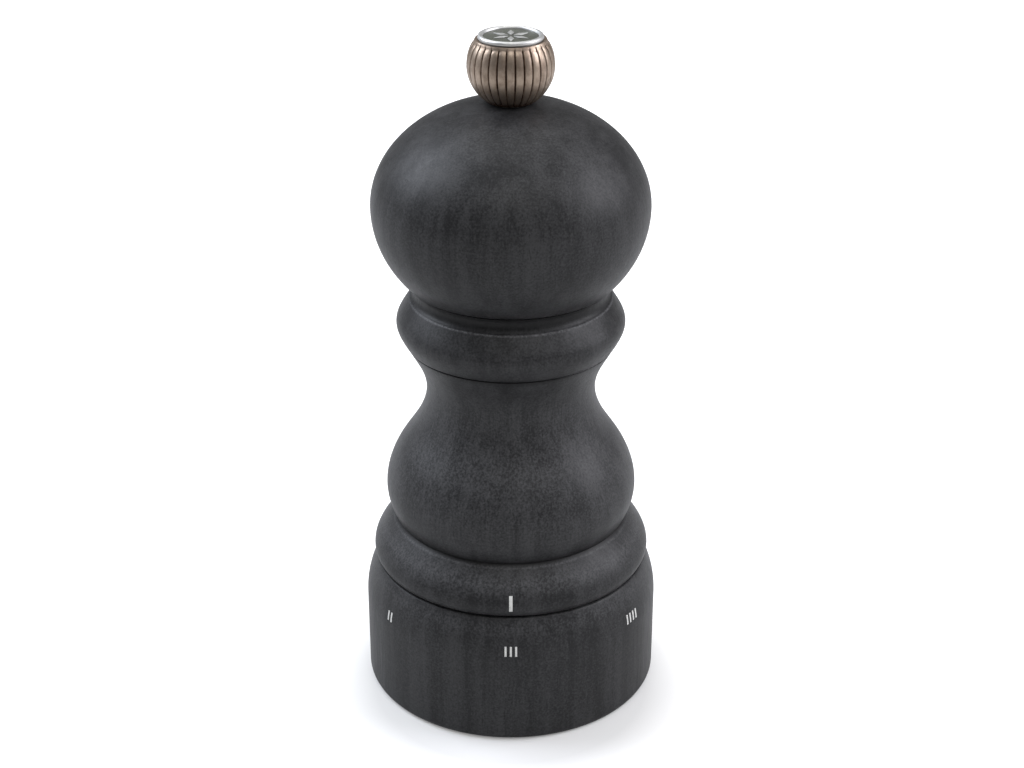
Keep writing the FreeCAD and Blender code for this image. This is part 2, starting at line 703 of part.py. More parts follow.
def make_stator_carrier():
    """Threaded ring that holds the stator and slides on the housing posts."""
    foot = STATOR_Z - CARRIER_LIP_T
    top = foot + CARRIER_H
    carrier = turned(polyline(
        (CARRIER_LIP_R, foot),
        (CARRIER_CORE_R, foot),
        (CARRIER_CORE_R, top),
        (STATOR_R, top),
        (STATOR_R, STATOR_Z),
        (CARRIER_LIP_R, STATOR_Z),
        (CARRIER_LIP_R, foot),
    ))
    ridge = helical_ridge(
        CARRIER_CORE_R - RIDGE_SINK,
        ADJUST_RIDGE_R,
        ADJUST_RIDGE_FOOT,
        ADJUST_RIDGE_TIP,
        ADJUST_PITCH,
        ADJUST_TURNS,
        ADJUST_START_Z,
    )
    carrier = carrier.fuse(ridge)
    slot_w = POST_W + 2 * SLIDING
    slot_r = POST_IN_R - SLIDING
    slots = block(4 * ADJUST_RIDGE_R, slot_w, foot, top).cut(cylinder(slot_r, foot, top))
    return carrier.cut(slots)


def make_stator():
    """Toothed ring: coarse spiral grooves above, fine teeth below."""
    waist_z = STATOR_Z + FINE_H
    top_z = STATOR_Z + STATOR_H
    fine = toothed_cone(
        (STATOR_FOOT_TIP_R, STATOR_FOOT_TIP_R + FINE_TOOTH, STATOR_Z),
        (STATOR_WAIST_TIP_R, STATOR_WAIST_TIP_R + FINE_TOOTH, waist_z),
        FINE_TEETH, FINE_TWIST_DEG, 1,
    )
    coarse = toothed_cone(
        (STATOR_WAIST_TIP_R, STATOR_WAIST_TIP_R + COARSE_GROOVE_DEPTH, waist_z),
        (STATOR_MOUTH_TIP_R, STATOR_MOUTH_TIP_R + COARSE_GROOVE_DEPTH, top_z),
        COARSE_GROOVES, ROTOR_TWIST_DEG, TWIST_SPANS,
    )
    coarse_h = STATOR_H - FINE_H
    throat = Part.makeCone(STATOR_WAIST_TIP_R, STATOR_MOUTH_TIP_R, coarse_h, V(0, 0, waist_z), UP)
    coarse = coarse.fuse(throat)
    return cylinder(STATOR_R, STATOR_Z, top_z).cut([fine, coarse])


def square_bar(side, z0, z1):
    return block(side, side, z0, z1)


def make_rotor():
    """Toothed cone on the square shaft, hollow below for its spring."""
    waist_z = STATOR_Z + FINE_H
    fine = toothed_cone(
        (ROTOR_FOOT_TIP_R, ROTOR_FOOT_TIP_R - FINE_TOOTH, ROTOR_Z),
        (ROTOR_WAIST_TIP_R, ROTOR_WAIST_TIP_R - FINE_TOOTH, waist_z),
        FINE_TEETH, -FINE_TWIST_DEG, 1,
    )
    coarse = toothed_cone(
        (ROTOR_WAIST_TIP_R - FINE_TOOTH, ROTOR_WAIST_TIP_R - FINE_TOOTH - ROTOR_LOBE_DEPTH, waist_z),
        (ROTOR_NOSE_TIP_R, ROTOR_NOSE_TIP_R - 0.5 * ROTOR_LOBE_DEPTH, ROTOR_TOP_Z),
        ROTOR_LOBES, -ROTOR_TWIST_DEG, TWIST_SPANS,
    )
    rotor = fine.fuse(coarse)
    hollow = cylinder(ROTOR_HOLLOW_R, ROTOR_Z, HOLLOW_TOP_Z)
    return rotor.cut([hollow, square_bar(SHAFT_SIDE, ROTOR_Z, ROTOR_TOP_Z)])


def clip_groove(z):
    return tube(CLIP_IN_R, SHAFT_CORNER_R + PASSING, z, z + CLIP_T)


def make_drive_shaft():
    """Square bar with a round foot, two clip grooves and a threaded stud on top."""
    bar = square_bar(SHAFT_SIDE, JOURNAL_TOP_Z, STUD_SHOULDER_Z)
    foot = cylinder(JOURNAL_R, SHAFT_FOOT_Z, JOURNAL_TOP_Z)
    thread_z = STUD_TOP_Z - STUD_CHAMFER - STUD_PITCH * (STUD_TURNS + 0.5)
    thread_depth = 0.6 * STUD_PITCH
    core_r = STUD_R - thread_depth
    plain = cylinder(STUD_R, STUD_SHOULDER_Z, thread_z)
    core = cylinder(core_r, thread_z, STUD_TOP_Z - STUD_CHAMFER)
    tip = Part.makeCone(core_r, core_r - STUD_CHAMFER, STUD_CHAMFER, V(0, 0, STUD_TOP_Z - STUD_CHAMFER), UP)
    ridge = helical_ridge(
        core_r - RIDGE_SINK, STUD_R, 0.85 * STUD_PITCH, 0.15 * STUD_PITCH,
        STUD_PITCH, STUD_TURNS, thread_z + 0.5 * STUD_PITCH,
    )
    shaft = bar.fuse([foot, plain, core, tip, ridge])
    return shaft.cut([clip_groove(ROTOR_TOP_Z), clip_groove(GUIDE_CLIP_Z)])


def make_clip(z):
    """Snap clip in a groove of the square shaft."""
    return split_ring(CLIP_IN_R, CLIP_R, z, z + CLIP_T, CLIP_GAP_DEG, 45.0)


def make_thrust_washer():
    return tube(THRUST_WASHER_BORE_R, THRUST_WASHER_R, BUSH_TOP_Z, WASHER_TOP_Z)


def make_rotor_spring():
    """Compression spring in the rotor's hollow; prints the least gap between its coils."""
    rise = HOLLOW_TOP_Z - WASHER_TOP_Z - SPRING_WIRE
    pitch = rise / SPRING_TURNS
    helix = Part.Wire(Part.makeHelix(pitch, rise, SPRING_R))
    section = Part.Wire(Part.makeCircle(SPRING_WIRE / 2.0, profile(SPRING_R, 0), V(0, 1, 0)))
    coil = helix.makePipeShell([section], True, True)
    coil.translate(V(0, 0, WASHER_TOP_Z + SPRING_WIRE / 2.0))
    samples = 200
    spots = helix.discretize(Number=samples)
    a_turn = int(samples / SPRING_TURNS)
    least = min(a.distanceToPoint(b) for a, b in zip(spots, spots[a_turn:])) - SPRING_WIRE
    print("rotor spring: least gap between coils %.2f mm" % least)
    return coil


def make_mill_head():
    """Oval head with a spigot in the body's mouth, bored for the shaft and its stud."""
    widest = BODY_TOP_Z + HEAD_WIDEST_AT
    edge_z = BODY_TOP_Z + SEAM_GAP
    step = HEAD_EDGE_ROUND
    outside = oval_points(widest, edge_z + step, HEAD_TOP_Z)
    edge_r = outside[0][0]
    flat_r = outside[-1][0]
    stud_bore_r = STUD_R + PASSING
    step_z = HEAD_TOP_Z - HEAD_STUD_BORE_DEPTH
    plate_top = HEAD_SPIGOT_Z + PLATE_T
    head = turned([
        *polyline(
            (PLATE_R, HEAD_SPIGOT_Z),
            (SPIGOT_HEAD_R, HEAD_SPIGOT_Z),
            (SPIGOT_HEAD_R, BODY_TOP_Z),
            (HEAD_SEAT_R, BODY_TOP_Z),
            (HEAD_SEAT_R, edge_z),
            (edge_r - step, edge_z),
            (edge_r, edge_z + step),
        ),
        through(*outside),
        *polyline(
            (flat_r, HEAD_TOP_Z),
            (stud_bore_r, HEAD_TOP_Z),
            (stud_bore_r, step_z),
            (SHAFT_BORE_R, step_z),
            (SHAFT_BORE_R, plate_top),
            (PLATE_R, plate_top),
            (PLATE_R, HEAD_SPIGOT_Z),
        ),
    ])
    pilot_top = HEAD_SPIGOT_Z + PLATE_SCREW_L
    pilots = [cylinder(PLATE_SCREW_R, plate_top, pilot_top, spot) for spot in plate_screw_spots()]
    return head.cut(pilots)


def oval_points(widest, z_low, z_high):
    """Points up the head's oval: one half-ellipse below its widest level, another above."""
    steps = 6
    low = -math.asin((widest - z_low) / HEAD_DROP)
    high = math.asin((z_high - widest) / HEAD_RISE)
    below = [low * (steps - i) / steps for i in range(steps)]
    above = [high * i / steps for i in range(steps + 1)]
    points = []
    for angle in below + above:
        height = HEAD_RISE if angle > 0 else HEAD_DROP
        points.append((HEAD_R * math.cos(angle), widest + height * math.sin(angle)))
    return points


def plate_screw_spots():
    return [polar(PLATE_SCREW_AT, 90.0 + 360.0 * i / PLATE_SCREWS) for i in range(PLATE_SCREWS)]


def make_drive_plate():
    """Plate whose square hole turns the shaft with the head."""
    plate = cylinder(PLATE_R, HEAD_SPIGOT_Z, HEAD_SPIGOT_Z + PLATE_T)
    hole = square_bar(SHAFT_SIDE + 2 * RUNNING, HEAD_SPIGOT_Z, HEAD_SPIGOT_Z + PLATE_T)
    screws = [plate_screw(spot) for spot in plate_screw_spots()]
    return plate.cut([hole] + screws)


def plate_screw(spot):
    return countersunk(PLATE_SCREW_R, PLATE_SCREW_HEAD_R, PLATE_SCREW_L, HEAD_SPIGOT_Z, spot)


def make_drive_plate_screws():
    screws = []
    for spot in plate_screw_spots():
        screws.append(plate_screw(spot).cut(cross_slot(PLATE_SCREW_HEAD_R, SLOT_DEPTH, HEAD_SPIGOT_Z, spot)))
    return Part.Compound(screws)


def make_knob_washer():
    """Friction washer, captive in the knob's underside."""
    return tube(STUD_R + SLIDING, WASHER_R, HEAD_TOP_Z, HEAD_TOP_Z + WASHER_T)


def make_knob_ball():
    """Ball with a flat foot and top, reeds round its side, and seats for what it holds."""
    ball = Part.makeSphere(BALL_R, V(0, 0, BALL_Z))
    half_w = REED_GROOVE_W
    vee = Part.Face(Part.makePolygon([
        V(BALL_R - REED_GROOVE_DEPTH, 0, 0),
        V(BALL_R + REED_GROOVE_DEPTH, half_w, 0),
        V(BALL_R + REED_GROOVE_DEPTH, -half_w, 0),
        V(BALL_R - REED_GROOVE_DEPTH, 0, 0),
    ]))
    vee.rotate(CENTRE, V(0, -1, 0), REED_FROM_DEG)
    groove = vee.revolve(CENTRE, V(0, -1, 0), REED_TO_DEG - REED_FROM_DEG)
    groove.translate(V(0, 0, BALL_Z))
    ball = ball.cut(around(groove, REEDS, -90.0 + 180.0 / REEDS))
    ball = ball.common(cylinder(2 * BALL_R, KNOB_Z, KNOB_TOP_Z))
    return ball.cut([
        cylinder(WASHER_R + SLIDING, KNOB_Z, HEAD_TOP_Z + WASHER_T),
        cylinder(BUSH_R, HEAD_TOP_Z + WASHER_T, HEAD_TOP_Z + WASHER_T + BUSH_H),
        cylinder(BEZEL_R, KNOB_TOP_Z + BEZEL_PROUD - BEZEL_H, KNOB_TOP_Z),
    ])


def make_knob_bush():
    """Bush pressed into the ball; its bore takes the stud."""
    foot = HEAD_TOP_Z + WASHER_T
    bore_top = STUD_TOP_Z + PASSING
    bush = cylinder(BUSH_R, foot, foot + BUSH_H)
    return bush.cut(cylinder(STUD_R + SLIDING, foot, min(bore_top, foot + BUSH_H)))


def make_knob_bezel():
    """Bright rim round the disc, rounded on top."""
    foot = KNOB_TOP_Z + BEZEL_PROUD - BEZEL_H
    inner = BEZEL_R - BEZEL_WALL
    crown = BEZEL_WALL / 2.0
    top = foot + BEZEL_H
    return turned([
        line(profile(inner, foot), profile(BEZEL_R, foot)),
        line(profile(BEZEL_R, foot), profile(BEZEL_R, top - crown)),
        arc((BEZEL_R, top - crown), (BEZEL_R - crown, top), (inner, top - crown)),
        line(profile(inner, top - crown), profile(inner, foot)),
    ])


def make_knob_disc():
    """Dark disc set inside the rim."""
    foot = KNOB_TOP_Z + BEZEL_PROUD - BEZEL_H
    return cylinder(BEZEL_R - BEZEL_WALL, foot, foot + DISC_T)


def make_knob_rosette():
    """Raised rosette of lozenges on the disc, as plain ornament."""
    face = KNOB_TOP_Z + BEZEL_PROUD - BEZEL_H + DISC_T
    lozenge = Part.makePolygon([
        V(PETAL_IN_R, 0, face),
        V(PETAL_WAIST_R, PETAL_W / 2.0, face),
        V(PETAL_OUT_R, 0, face),
        V(PETAL_WAIST_R, -PETAL_W / 2.0, face),
        V(PETAL_IN_R, 0, face),
    ])
    petal = Part.Face(lozenge).extrude(V(0, 0, PETAL_PROUD))
    return Part.Compound(around(petal, PETALS, 90.0))


def main():
    setting_marks = make_setting_marks()
    index_mark = make_index_mark()
    pieces = {
        "grind_ring": make_grind_ring(setting_marks),
        "setting_marks": setting_marks,
        "ring_insert": make_ring_insert(),
        "mill_body": make_mill_body(index_mark),
        "index_mark": index_mark,
        "base_housing": make_base_housing(),
        "housing_screws": make_housing_screws(),
        "shaft_guide": make_shaft_guide(),
        "bridge": make_bridge(),
        "bridge_screws": make_bridge_screws(),
        "bridge_bush": make_bridge_bush(),
        "ring_circlip": make_ring_circlip(),
        "click_spring": make_click_spring(),
        "stator_carrier": make_stator_carrier(),
        "stator": make_stator(),
        "drive_shaft": make_drive_shaft(),
        "rotor": make_rotor(),
        "rotor_clip": make_clip(ROTOR_TOP_Z),
        "guide_clip": make_clip(GUIDE_CLIP_Z),
        "thrust_washer": make_thrust_washer(),
        "rotor_spring": make_rotor_spring(),
        "mill_head": make_mill_head(),
        "drive_plate": make_drive_plate(),
        "drive_plate_screws": make_drive_plate_screws(),
        "knob_washer": make_knob_washer(),
        "knob_ball": make_knob_ball(),
        "knob_bush": make_knob_bush(),
        "knob_bezel": make_knob_bezel(),
        "knob_disc": make_knob_disc(),
        "knob_rosette": make_knob_rosette(),
    }
    os.makedirs("parts", exist_ok=True)
    for name, shape in pieces.items():
        solids = shape.Solids
        whole = solids[0] if len(solids) == 1 else Part.Compound(solids)
        whole.exportStep("parts/%s.step" % name)


main()
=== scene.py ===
"""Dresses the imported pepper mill: turned wood, reeded knob, filled marks, grinder and studio."""

import math

import bmesh
import bpy
import numpy as np
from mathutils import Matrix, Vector


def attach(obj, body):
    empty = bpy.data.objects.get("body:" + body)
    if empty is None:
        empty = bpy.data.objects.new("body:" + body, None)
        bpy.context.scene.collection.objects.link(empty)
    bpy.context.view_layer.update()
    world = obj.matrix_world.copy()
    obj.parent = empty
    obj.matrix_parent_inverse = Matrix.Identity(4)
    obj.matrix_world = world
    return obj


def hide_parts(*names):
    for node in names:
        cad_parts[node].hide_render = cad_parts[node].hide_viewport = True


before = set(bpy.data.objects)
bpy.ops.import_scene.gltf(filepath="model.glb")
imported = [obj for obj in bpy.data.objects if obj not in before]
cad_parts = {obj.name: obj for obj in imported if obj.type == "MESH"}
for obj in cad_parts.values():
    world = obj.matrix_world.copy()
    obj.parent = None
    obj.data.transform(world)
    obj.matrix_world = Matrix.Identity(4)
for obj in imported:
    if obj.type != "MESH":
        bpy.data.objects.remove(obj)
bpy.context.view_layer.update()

bl_info = {
    "name": "Pepper mill dressing",
    "version": (1, 0, 0),
    "blender": (4, 5, 0),
    "location": "View3D > Sidebar > Mill",
    "description": "Turned wood, reeded knob, setting marks, grinder finishes and studio",
    "category": "Object",
}

MM = 0.001
FULL_TURN = 2 * math.pi
FRONT_DEG = -90.0
SOFT_EDGE_DEG = 35.0
# Points of a lathe closer together than this many millimetres become one
WELD = 0.004
# Sockets of a Mix node that mixes colours
FACTOR, FIRST, SECOND, MIXED = 0, 6, 7, 2

# Turned outlines as (radius, height) in millimetres, the same as the solids have
RING_SHOULDER = ((26.6, 15.8), (25.94, 20.73), (24.4, 24.3))
RING_BORE_R = 21.0
BEAD = ((24.3, 24.7), (24.95, 26.18), (24.585, 27.976), (23.198, 30.238), (21.3, 32.5))
BELLY_AND_NECK = (
    (20.7, 33.0), (22.4, 39.0), (20.225, 46.03), (17.0, 50.97),
    (14.9, 58.0), (15.9385, 62.225), (17.2785, 64.76), (18.25, 66.45),
)
NECK_GROOVE = (18.05, 66.65)
COLLAR = ((18.5, 66.85), (19.185, 68.057), (19.95, 70.4), (18.961, 72.92), (17.65, 74.9))
COVE = ((17.4, 75.0), (16.8, 76.25), (17.3, 77.6))
CHAMBER_R = 11.0
FLANGE_RECESS = ((20.5, 28.0), (20.5, 24.7))
HEAD_WIDEST_Z = 91.5
HEAD_FOOT_Z = 78.5
HEAD_FOOT_CHAMFER = 0.5
HEAD_UNDERSIDE = (
    (3.8355, 103.0), (3.8355, 73.9), (8.0, 73.9), (8.0, 72.4), (10.7, 72.4),
    (10.7, 77.6), (15.0, 77.6), (15.0, 78.0),
)
HEAD_STUD_HOLE_R = 2.8
KNOB_BORE = ((0.0, 117.2), (3.3, 117.2), (3.3, 110.0), (3.4, 110.0))
# Cuts in each span of a smooth curve, or in the whole of an arc
BEAD_CUTS = 8
BELLY_CUTS = 10
COLLAR_CUTS = 7
COVE_CUTS = 8
RING_FOOT_CUTS = 8
SHOULDER_CUTS = 16
HEAD_LOWER_CUTS = 24
HEAD_UPPER_CUTS = 40
BALL_CUTS = 64
RIM_CUTS = 14
# The marks follow the bead and the shoulder, cut finer
MARKED_BEAD_CUTS = 12
MARKED_SHOULDER_CUTS = 24
BAR_FACETS = 4

# Where the stain is paler, as (radius, height, reach, strength) with lengths in millimetres: turned
# edges, rubbed thin by use and lit as a painted highlight, the upper faces of the bead and ring, a
# painted highlight from above, and the belly, whose stain lies paler
WEAR_AND_HIGHLIGHT_PLACES = (
    (21.3, 32.5, 0.26, 0.6), (17.65, 74.9, 0.26, 1.0),
    (23.2, 30.2, 3.0, 0.34), (25.2, 22.8, 2.6, 0.2), (19.0, 49.0, 18.0, 0.24),
)
# Recesses darkened towards black as painted shade, in the same form
SHADED_RECESSES = (
    (16.8, 76.5, 1.9, 0.9), (17.2, 77.7, 1.3, 1.0), (20.7, 33.0, 1.1, 1.0), (18.05, 66.65, 1.3, 0.75),
)

# Grind settings on the ring, the one at the front at rest, and the depth of their fill in millimetres
SETTINGS = 6
FRONT_SETTING = 3
FILL_DEPTH = 0.1

# Reeds of the knob: their ends as angles over the ball, their share of the pitch and of the band above,
# and how deep the groove over a reed's round end is beside the grooves between two reeds
REED_TOP_DEG = 31.5
REED_FOOT_DEG = -55.0
REED_SHARE = 0.76
BAND_SHARE = 0.6
REED_END_SHARE = 0.15
FACETS_PER_REED = 16
# Shares of the depth in the groove itself and in the round of the reed's crown
GROOVE_SHARE = 0.82
CROWN_SHARE = 0.18
DEPTH_TIERS = 40
# Points inside this share of the ball's radius are in its bore or seat, and stay in place
SKIN_SHARE = 0.985
# Patina starts at a share of the groove's depth and is full one span deeper
PATINA_START = 0.42
PATINA_SPAN = 0.36
# Painted shade at the ball's foot in millimetres: how far up it comes, and the height over which it fills
FOOT_SHADE_TOP = 1.4
FOOT_SHADE_SPAN = 1.6
# Cap of the knob in millimetres. The rim stands over a narrow gap, on a neck that is set in
CAP_FACETS = 128
SEAT_DEPTH = 0.3
RIM_HEIGHT = 1.1
RIM_NECK_INSET = 0.3
RIM_GAP = 0.2
DISC_SOFT = 0.06
PETALS = 6
PETAL = ((0.55, 0.0), (1.75, 0.55), (3.3, 0.0), (1.75, -0.55))
PETAL_RISE = 0.15
PETAL_SOFT = 0.05

# Tool marks change the tone and roughness of a finish by this share either way
FINISH_SWING = 0.2

# Soft boxes as (name, place and size in metres, watts, tint), and the point they face
SOFTBOXES = (
    ("left box", (-0.52, 0.16, 0.52), (0.42, 0.5), 5.3, "EEF4FF"),
    ("right box", (0.57, -0.02, 0.42), (0.42, 0.5), 4.3, "F8F8FF"),
    ("top box", (0.0, 0.26, 0.78), (0.5, 0.5), 2.0, "FFFFFF"),
    ("front box", (0.05, -0.44, 0.72), (0.5, 0.3), 1.7, "FFFFFF"),
)
SOFTBOX_AIM = (0.0, 0.0, 0.06)
FLOOR_SIZE = 8.0
FLOOR_GREY = 0.54
# The floor's glow is the sum of two ramps over the distance from a spot before the mill's axis, each as
# (start and end in metres, glow at the start, glow at the end)
SHADE_SPOT = (0.0, -0.008, 0.0)
GLOW_RAMPS = ((0.025, 0.036, 0.2, 0.58), (0.036, 0.2, 0.0, 0.25))
REFLECTED_GLOW = 0.25
# Strength of the room as a fill, and as reflections see it on the camera's side and behind the mill
ROOM_FILL = 0.4
ROOM_FRONT = 0.08
ROOM_BACK = 0.24
CAMERA_PLACE = (0.0002, -0.2984, 0.2028)
CAMERA_PITCH_DEG = 25.95
SENSOR_MM = 36.0
LENS_MM = 65.87
CLIP_NEAR, CLIP_FAR = 0.01, 50.0


def linear(code):
    """Linear colour of an sRGB hex code."""
    parts = [int(code[i:i + 2], 16) / 255 for i in (0, 2, 4)]
    return [p / 12.92 if p <= 0.04045 else ((p + 0.055) / 1.055) ** 2.4 for p in parts]


def colour(name, code, description):
    """Colour setting with an sRGB hex default."""
    return bpy.props.FloatVectorProperty(
        name=name, description=description, default=linear(code),
        subtype="COLOR", size=3, min=0.0, max=1.0,
    )


def length(name, millimetres, description):
    """Length setting with a default in millimetres."""
    return bpy.props.FloatProperty(
        name=name, description=description, default=millimetres * MM,
        unit="LENGTH", min=0.0, precision=5,
    )


class MillWoodSettings(bpy.types.PropertyGroup):
    """Turned wood: main radii, edge softness and stain."""

    head_radius: length("Head radius", 23.8, "Widest radius of the oval head")
    head_rise: length("Head rise", 18.15, "Height of the oval above its widest level")
    head_drop: length("Head drop", 20.5, "Height of the oval below its widest level")
    head_top: length("Head top", 109.4, "Level of the flat under the knob")
    foot_round: length("Foot rounding", 1.4, "Rounding of the ring's lower edge")
    edge_soft: length("Edge softness", 0.1, "Width of the softened turned edges")
    facets: bpy.props.IntProperty(
        name="Facets", description="Facets round each turned piece", default=160, min=24,
    )
    dark: colour("Stain", "1F1F20", "Graphite stain where it lies thick")
    light: colour("Thin stain", "363637", "Stain over the paler grain")
    # Paler stain for wear, also used as a painted highlight on edges and upper faces
    worn_and_lit: colour("Rubbed and lit stain", "68686A", "Stain rubbed thin by use")


class MillMarkSettings(bpy.types.PropertyGroup):
    """Filled tallies on the ring and the index bar on the bead."""

    bar_width: length("Bar width", 0.36, "Width of one tally bar")
    bar_pitch: length("Bar pitch", 0.92, "Distance between tally bars")
    bar_low: length("Bar foot", 17.8, "Level of the bars' lower ends")
    bar_high: length("Bar top", 19.65, "Level of the bars' upper ends")
    index_width: length("Index width", 0.6, "Width of the index bar")
    index_low: length("Index foot", 26.05, "Level of the index bar's lower end")
    index_high: length("Index top", 28.75, "Level of the index bar's upper end")
    proud: length("Proud", 0.03, "How far the fill stands off the wood")
    step: bpy.props.FloatProperty(
        name="Step", description="Turn between two settings", default=math.radians(55.0), subtype="ANGLE",
    )
    fill: colour("Fill", "CDCDCA", "Pale fill of the marks")


class MillKnobSettings(bpy.types.PropertyGroup):
    """Reeded ball, its rim and its disc."""

    ball_radius: length("Ball radius", 7.3, "Radius over the reeds")
    ball_level: length("Ball level", 115.75, "Level of the ball's centre")
    foot_level: length("Foot level", 109.6, "Level of the ball's lower face")
    top_level: length("Top level", 120.05, "Level of the ball's upper face")
    rim_radius: length("Rim radius", 5.45, "Outside radius of the bright rim")
    rim_width: length("Rim width", 0.85, "Width of the bright rim")
    rim_top: length("Rim top", 120.85, "Level of the rim's crown")
    disc_level: length("Disc level", 120.45, "Level of the disc's face")
    reeds: bpy.props.IntProperty(name="Reeds", description="Reeds round the ball", default=30, min=6)
    groove_depth: length("Groove depth", 0.34, "Depth of the groove between two reeds")
    metal: colour("Metal", "A39384", "Aged pewter on the crowns")
    # Also used as painted shade round the ball's foot
    patina_and_shade: colour("Patina", "4A3426", "Brown patina in the grooves")
    rim: colour("Rim", "C8C8C6", "Bright rim")
    enamel: colour("Enamel", "43453C", "Dark enamel of the disc")


def deselect_all():
    """Leaves edit mode and deselects every object."""
    if bpy.context.object and bpy.context.object.mode != "OBJECT":
        bpy.ops.object.mode_set(mode="OBJECT")
    bpy.ops.object.select_all(action="DESELECT")


def smooth_through(points, cuts):
    """Points along one smooth curve through the given ones."""
    spots = np.array(points, float)
    spans = np.linalg.norm(np.diff(spots, axis=0), axis=1)
    count = len(spots)
    system = np.eye(count)
    bend = np.zeros((count, 2))
    for i in range(1, count - 1):
        system[i, i - 1:i + 2] = spans[i - 1], 2 * (spans[i - 1] + spans[i]), spans[i]
        bend[i] = 6 * ((spots[i + 1] - spots[i]) / spans[i] - (spots[i] - spots[i - 1]) / spans[i - 1])
    system[0, :2] = 1, -1
    system[-1, -2:] = -1, 1
    bend = np.linalg.solve(system, bend)
    curve = []
    for i, span in enumerate(spans):
        for k in range(cuts):
            a = 1 - k / cuts
            b = k / cuts
            flat = a * spots[i] + b * spots[i + 1]
            bow = ((a ** 3 - a) * bend[i] + (b ** 3 - b) * bend[i + 1]) * span ** 2 / 6
            curve.append(tuple(flat + bow))
    return curve + [tuple(spots[-1])]


def arc_through(start, middle, end, cuts):
    """Points along the arc from start through middle to end."""
    (ax, ay), (bx, by), (cx, cy) = start, middle, end
    d = 2 * (ax * (by - cy) + bx * (cy - ay) + cx * (ay - by))
    a2, b2, c2 = ax * ax + ay * ay, bx * bx + by * by, cx * cx + cy * cy
    ox = (a2 * (by - cy) + b2 * (cy - ay) + c2 * (ay - by)) / d
    oy = (a2 * (cx - bx) + b2 * (ax - cx) + c2 * (bx - ax)) / d
    radius = math.hypot(ax - ox, ay - oy)
    first = math.atan2(ay - oy, ax - ox)
    half = math.remainder(math.atan2(by - oy, bx - ox) - first, FULL_TURN)
    rest = math.remainder(math.atan2(cy - oy, cx - ox) - first - half, FULL_TURN)
    sweep = half + rest
    angles = [first + sweep * k / cuts for k in range(cuts + 1)]
    return [(ox + radius * math.cos(t), oy + radius * math.sin(t)) for t in angles]


def trace(name, spots):
    """Shrinks a plane to a point and extrudes it through the spots; leaves it in edit mode."""
    deselect_all()
    bpy.ops.mesh.primitive_plane_add(size=MM, location=(0, 0, 0))
    obj = bpy.context.object
    obj.name = name
    obj.data.name = name
    bpy.ops.object.mode_set(mode="EDIT")
    bpy.ops.mesh.select_mode(type="VERT")
    bpy.ops.mesh.select_all(action="SELECT")
    bpy.ops.mesh.merge(type="CENTER")
    bpy.ops.transform.translate(value=spots[0])
    for here, there in zip(spots, spots[1:]):
        bpy.ops.mesh.extrude_vertices_move(TRANSFORM_OT_translate={"value": there - here})
    bpy.ops.mesh.select_all(action="SELECT")
    return obj


def plate(name, outline, low, high):
    """Flat plate of an (x, y) outline in millimetres between two levels."""
    obj = trace(name, [Vector((x, y, low)) * MM for x, y in outline])
    bpy.ops.mesh.edge_face_add()
    bpy.ops.mesh.extrude_region_move(TRANSFORM_OT_translate={"value": (0, 0, (high - low) * MM)})
    bpy.ops.mesh.select_all(action="SELECT")
    bpy.ops.mesh.normals_make_consistent(inside=False)
    bpy.ops.object.mode_set(mode="OBJECT")
    return obj


def lathe(name, outline, facets, start=0.0, sweep=FULL_TURN):
    """Spins an outline in millimetres about the mill's axis."""
    across = Vector((math.cos(start), math.sin(start), 0))
    obj = trace(name, [across * (r * MM) + Vector((0, 0, z * MM)) for r, z in outline])
    bpy.ops.mesh.spin(steps=facets, angle=sweep, center=(0, 0, 0), axis=(0, 0, 1))
    bpy.ops.mesh.select_all(action="SELECT")
    bpy.ops.mesh.remove_doubles(threshold=WELD * MM)
    bpy.ops.mesh.normals_make_consistent(inside=False)
    bpy.ops.object.mode_set(mode="OBJECT")
    return obj


def apply_modifier(obj, kind, **settings):
    """Adds one modifier with its settings and applies it."""
    modifier = obj.modifiers.new(kind.title(), kind)
    for key, value in settings.items():
        setattr(modifier, key, value)
    bpy.context.view_layer.objects.active = obj
    bpy.ops.object.modifier_apply(modifier=modifier.name)


def soften(obj, width):
    """Breaks the sharp edges as sandpaper does, and shades the rest smooth."""
    apply_modifier(
        obj, "BEVEL", width=width, segments=2, limit_method="ANGLE",
        angle_limit=math.radians(SOFT_EDGE_DEG),
    )
    shade(obj)


def shade(obj):
    """Shades smooth, with creases at the sharp edges."""
    deselect_all()
    obj.select_set(True)
    bpy.context.view_layer.objects.active = obj
    bpy.ops.object.shade_smooth_by_angle(angle=math.radians(SOFT_EDGE_DEG))


def paint_wear_light_and_shade(obj):
    """Stores at each point the paler stain of wear and painted highlight, and the painted shade of
    recesses, as two attributes.
    """
    spots = [(math.hypot(v.co.x, v.co.y) / MM, v.co.z / MM) for v in obj.data.vertices]
    for name, places in (("wear_and_highlight", WEAR_AND_HIGHLIGHT_PLACES), ("painted_shade", SHADED_RECESSES)):
        layer = obj.data.attributes.new(name, "FLOAT", "POINT")
        for i, (r, z) in enumerate(spots):
            layer.data[i].value = max(
                strength * max(0.0, 1.0 - math.hypot(r - at_r, z - at_z) / reach)
                for at_r, at_z, reach, strength in places
            )


def join_as(name, objects):
    """Joins pieces of one kind into one object."""
    deselect_all()
    for obj in objects:
        obj.select_set(True)
    bpy.context.view_layer.objects.active = objects[0]
    if len(objects) > 1:
        bpy.ops.object.join()
    objects[0].name = name
    objects[0].data.name = name
    return objects[0]


def settle(obj, body, slot, material, *nodes):
    """Gives a finished piece its material and body, and hides the node it stands for. The slot is not
    used.
    """
    obj.data.materials.clear()
    obj.data.materials.append(material)
    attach(obj, body)
    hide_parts(*nodes)


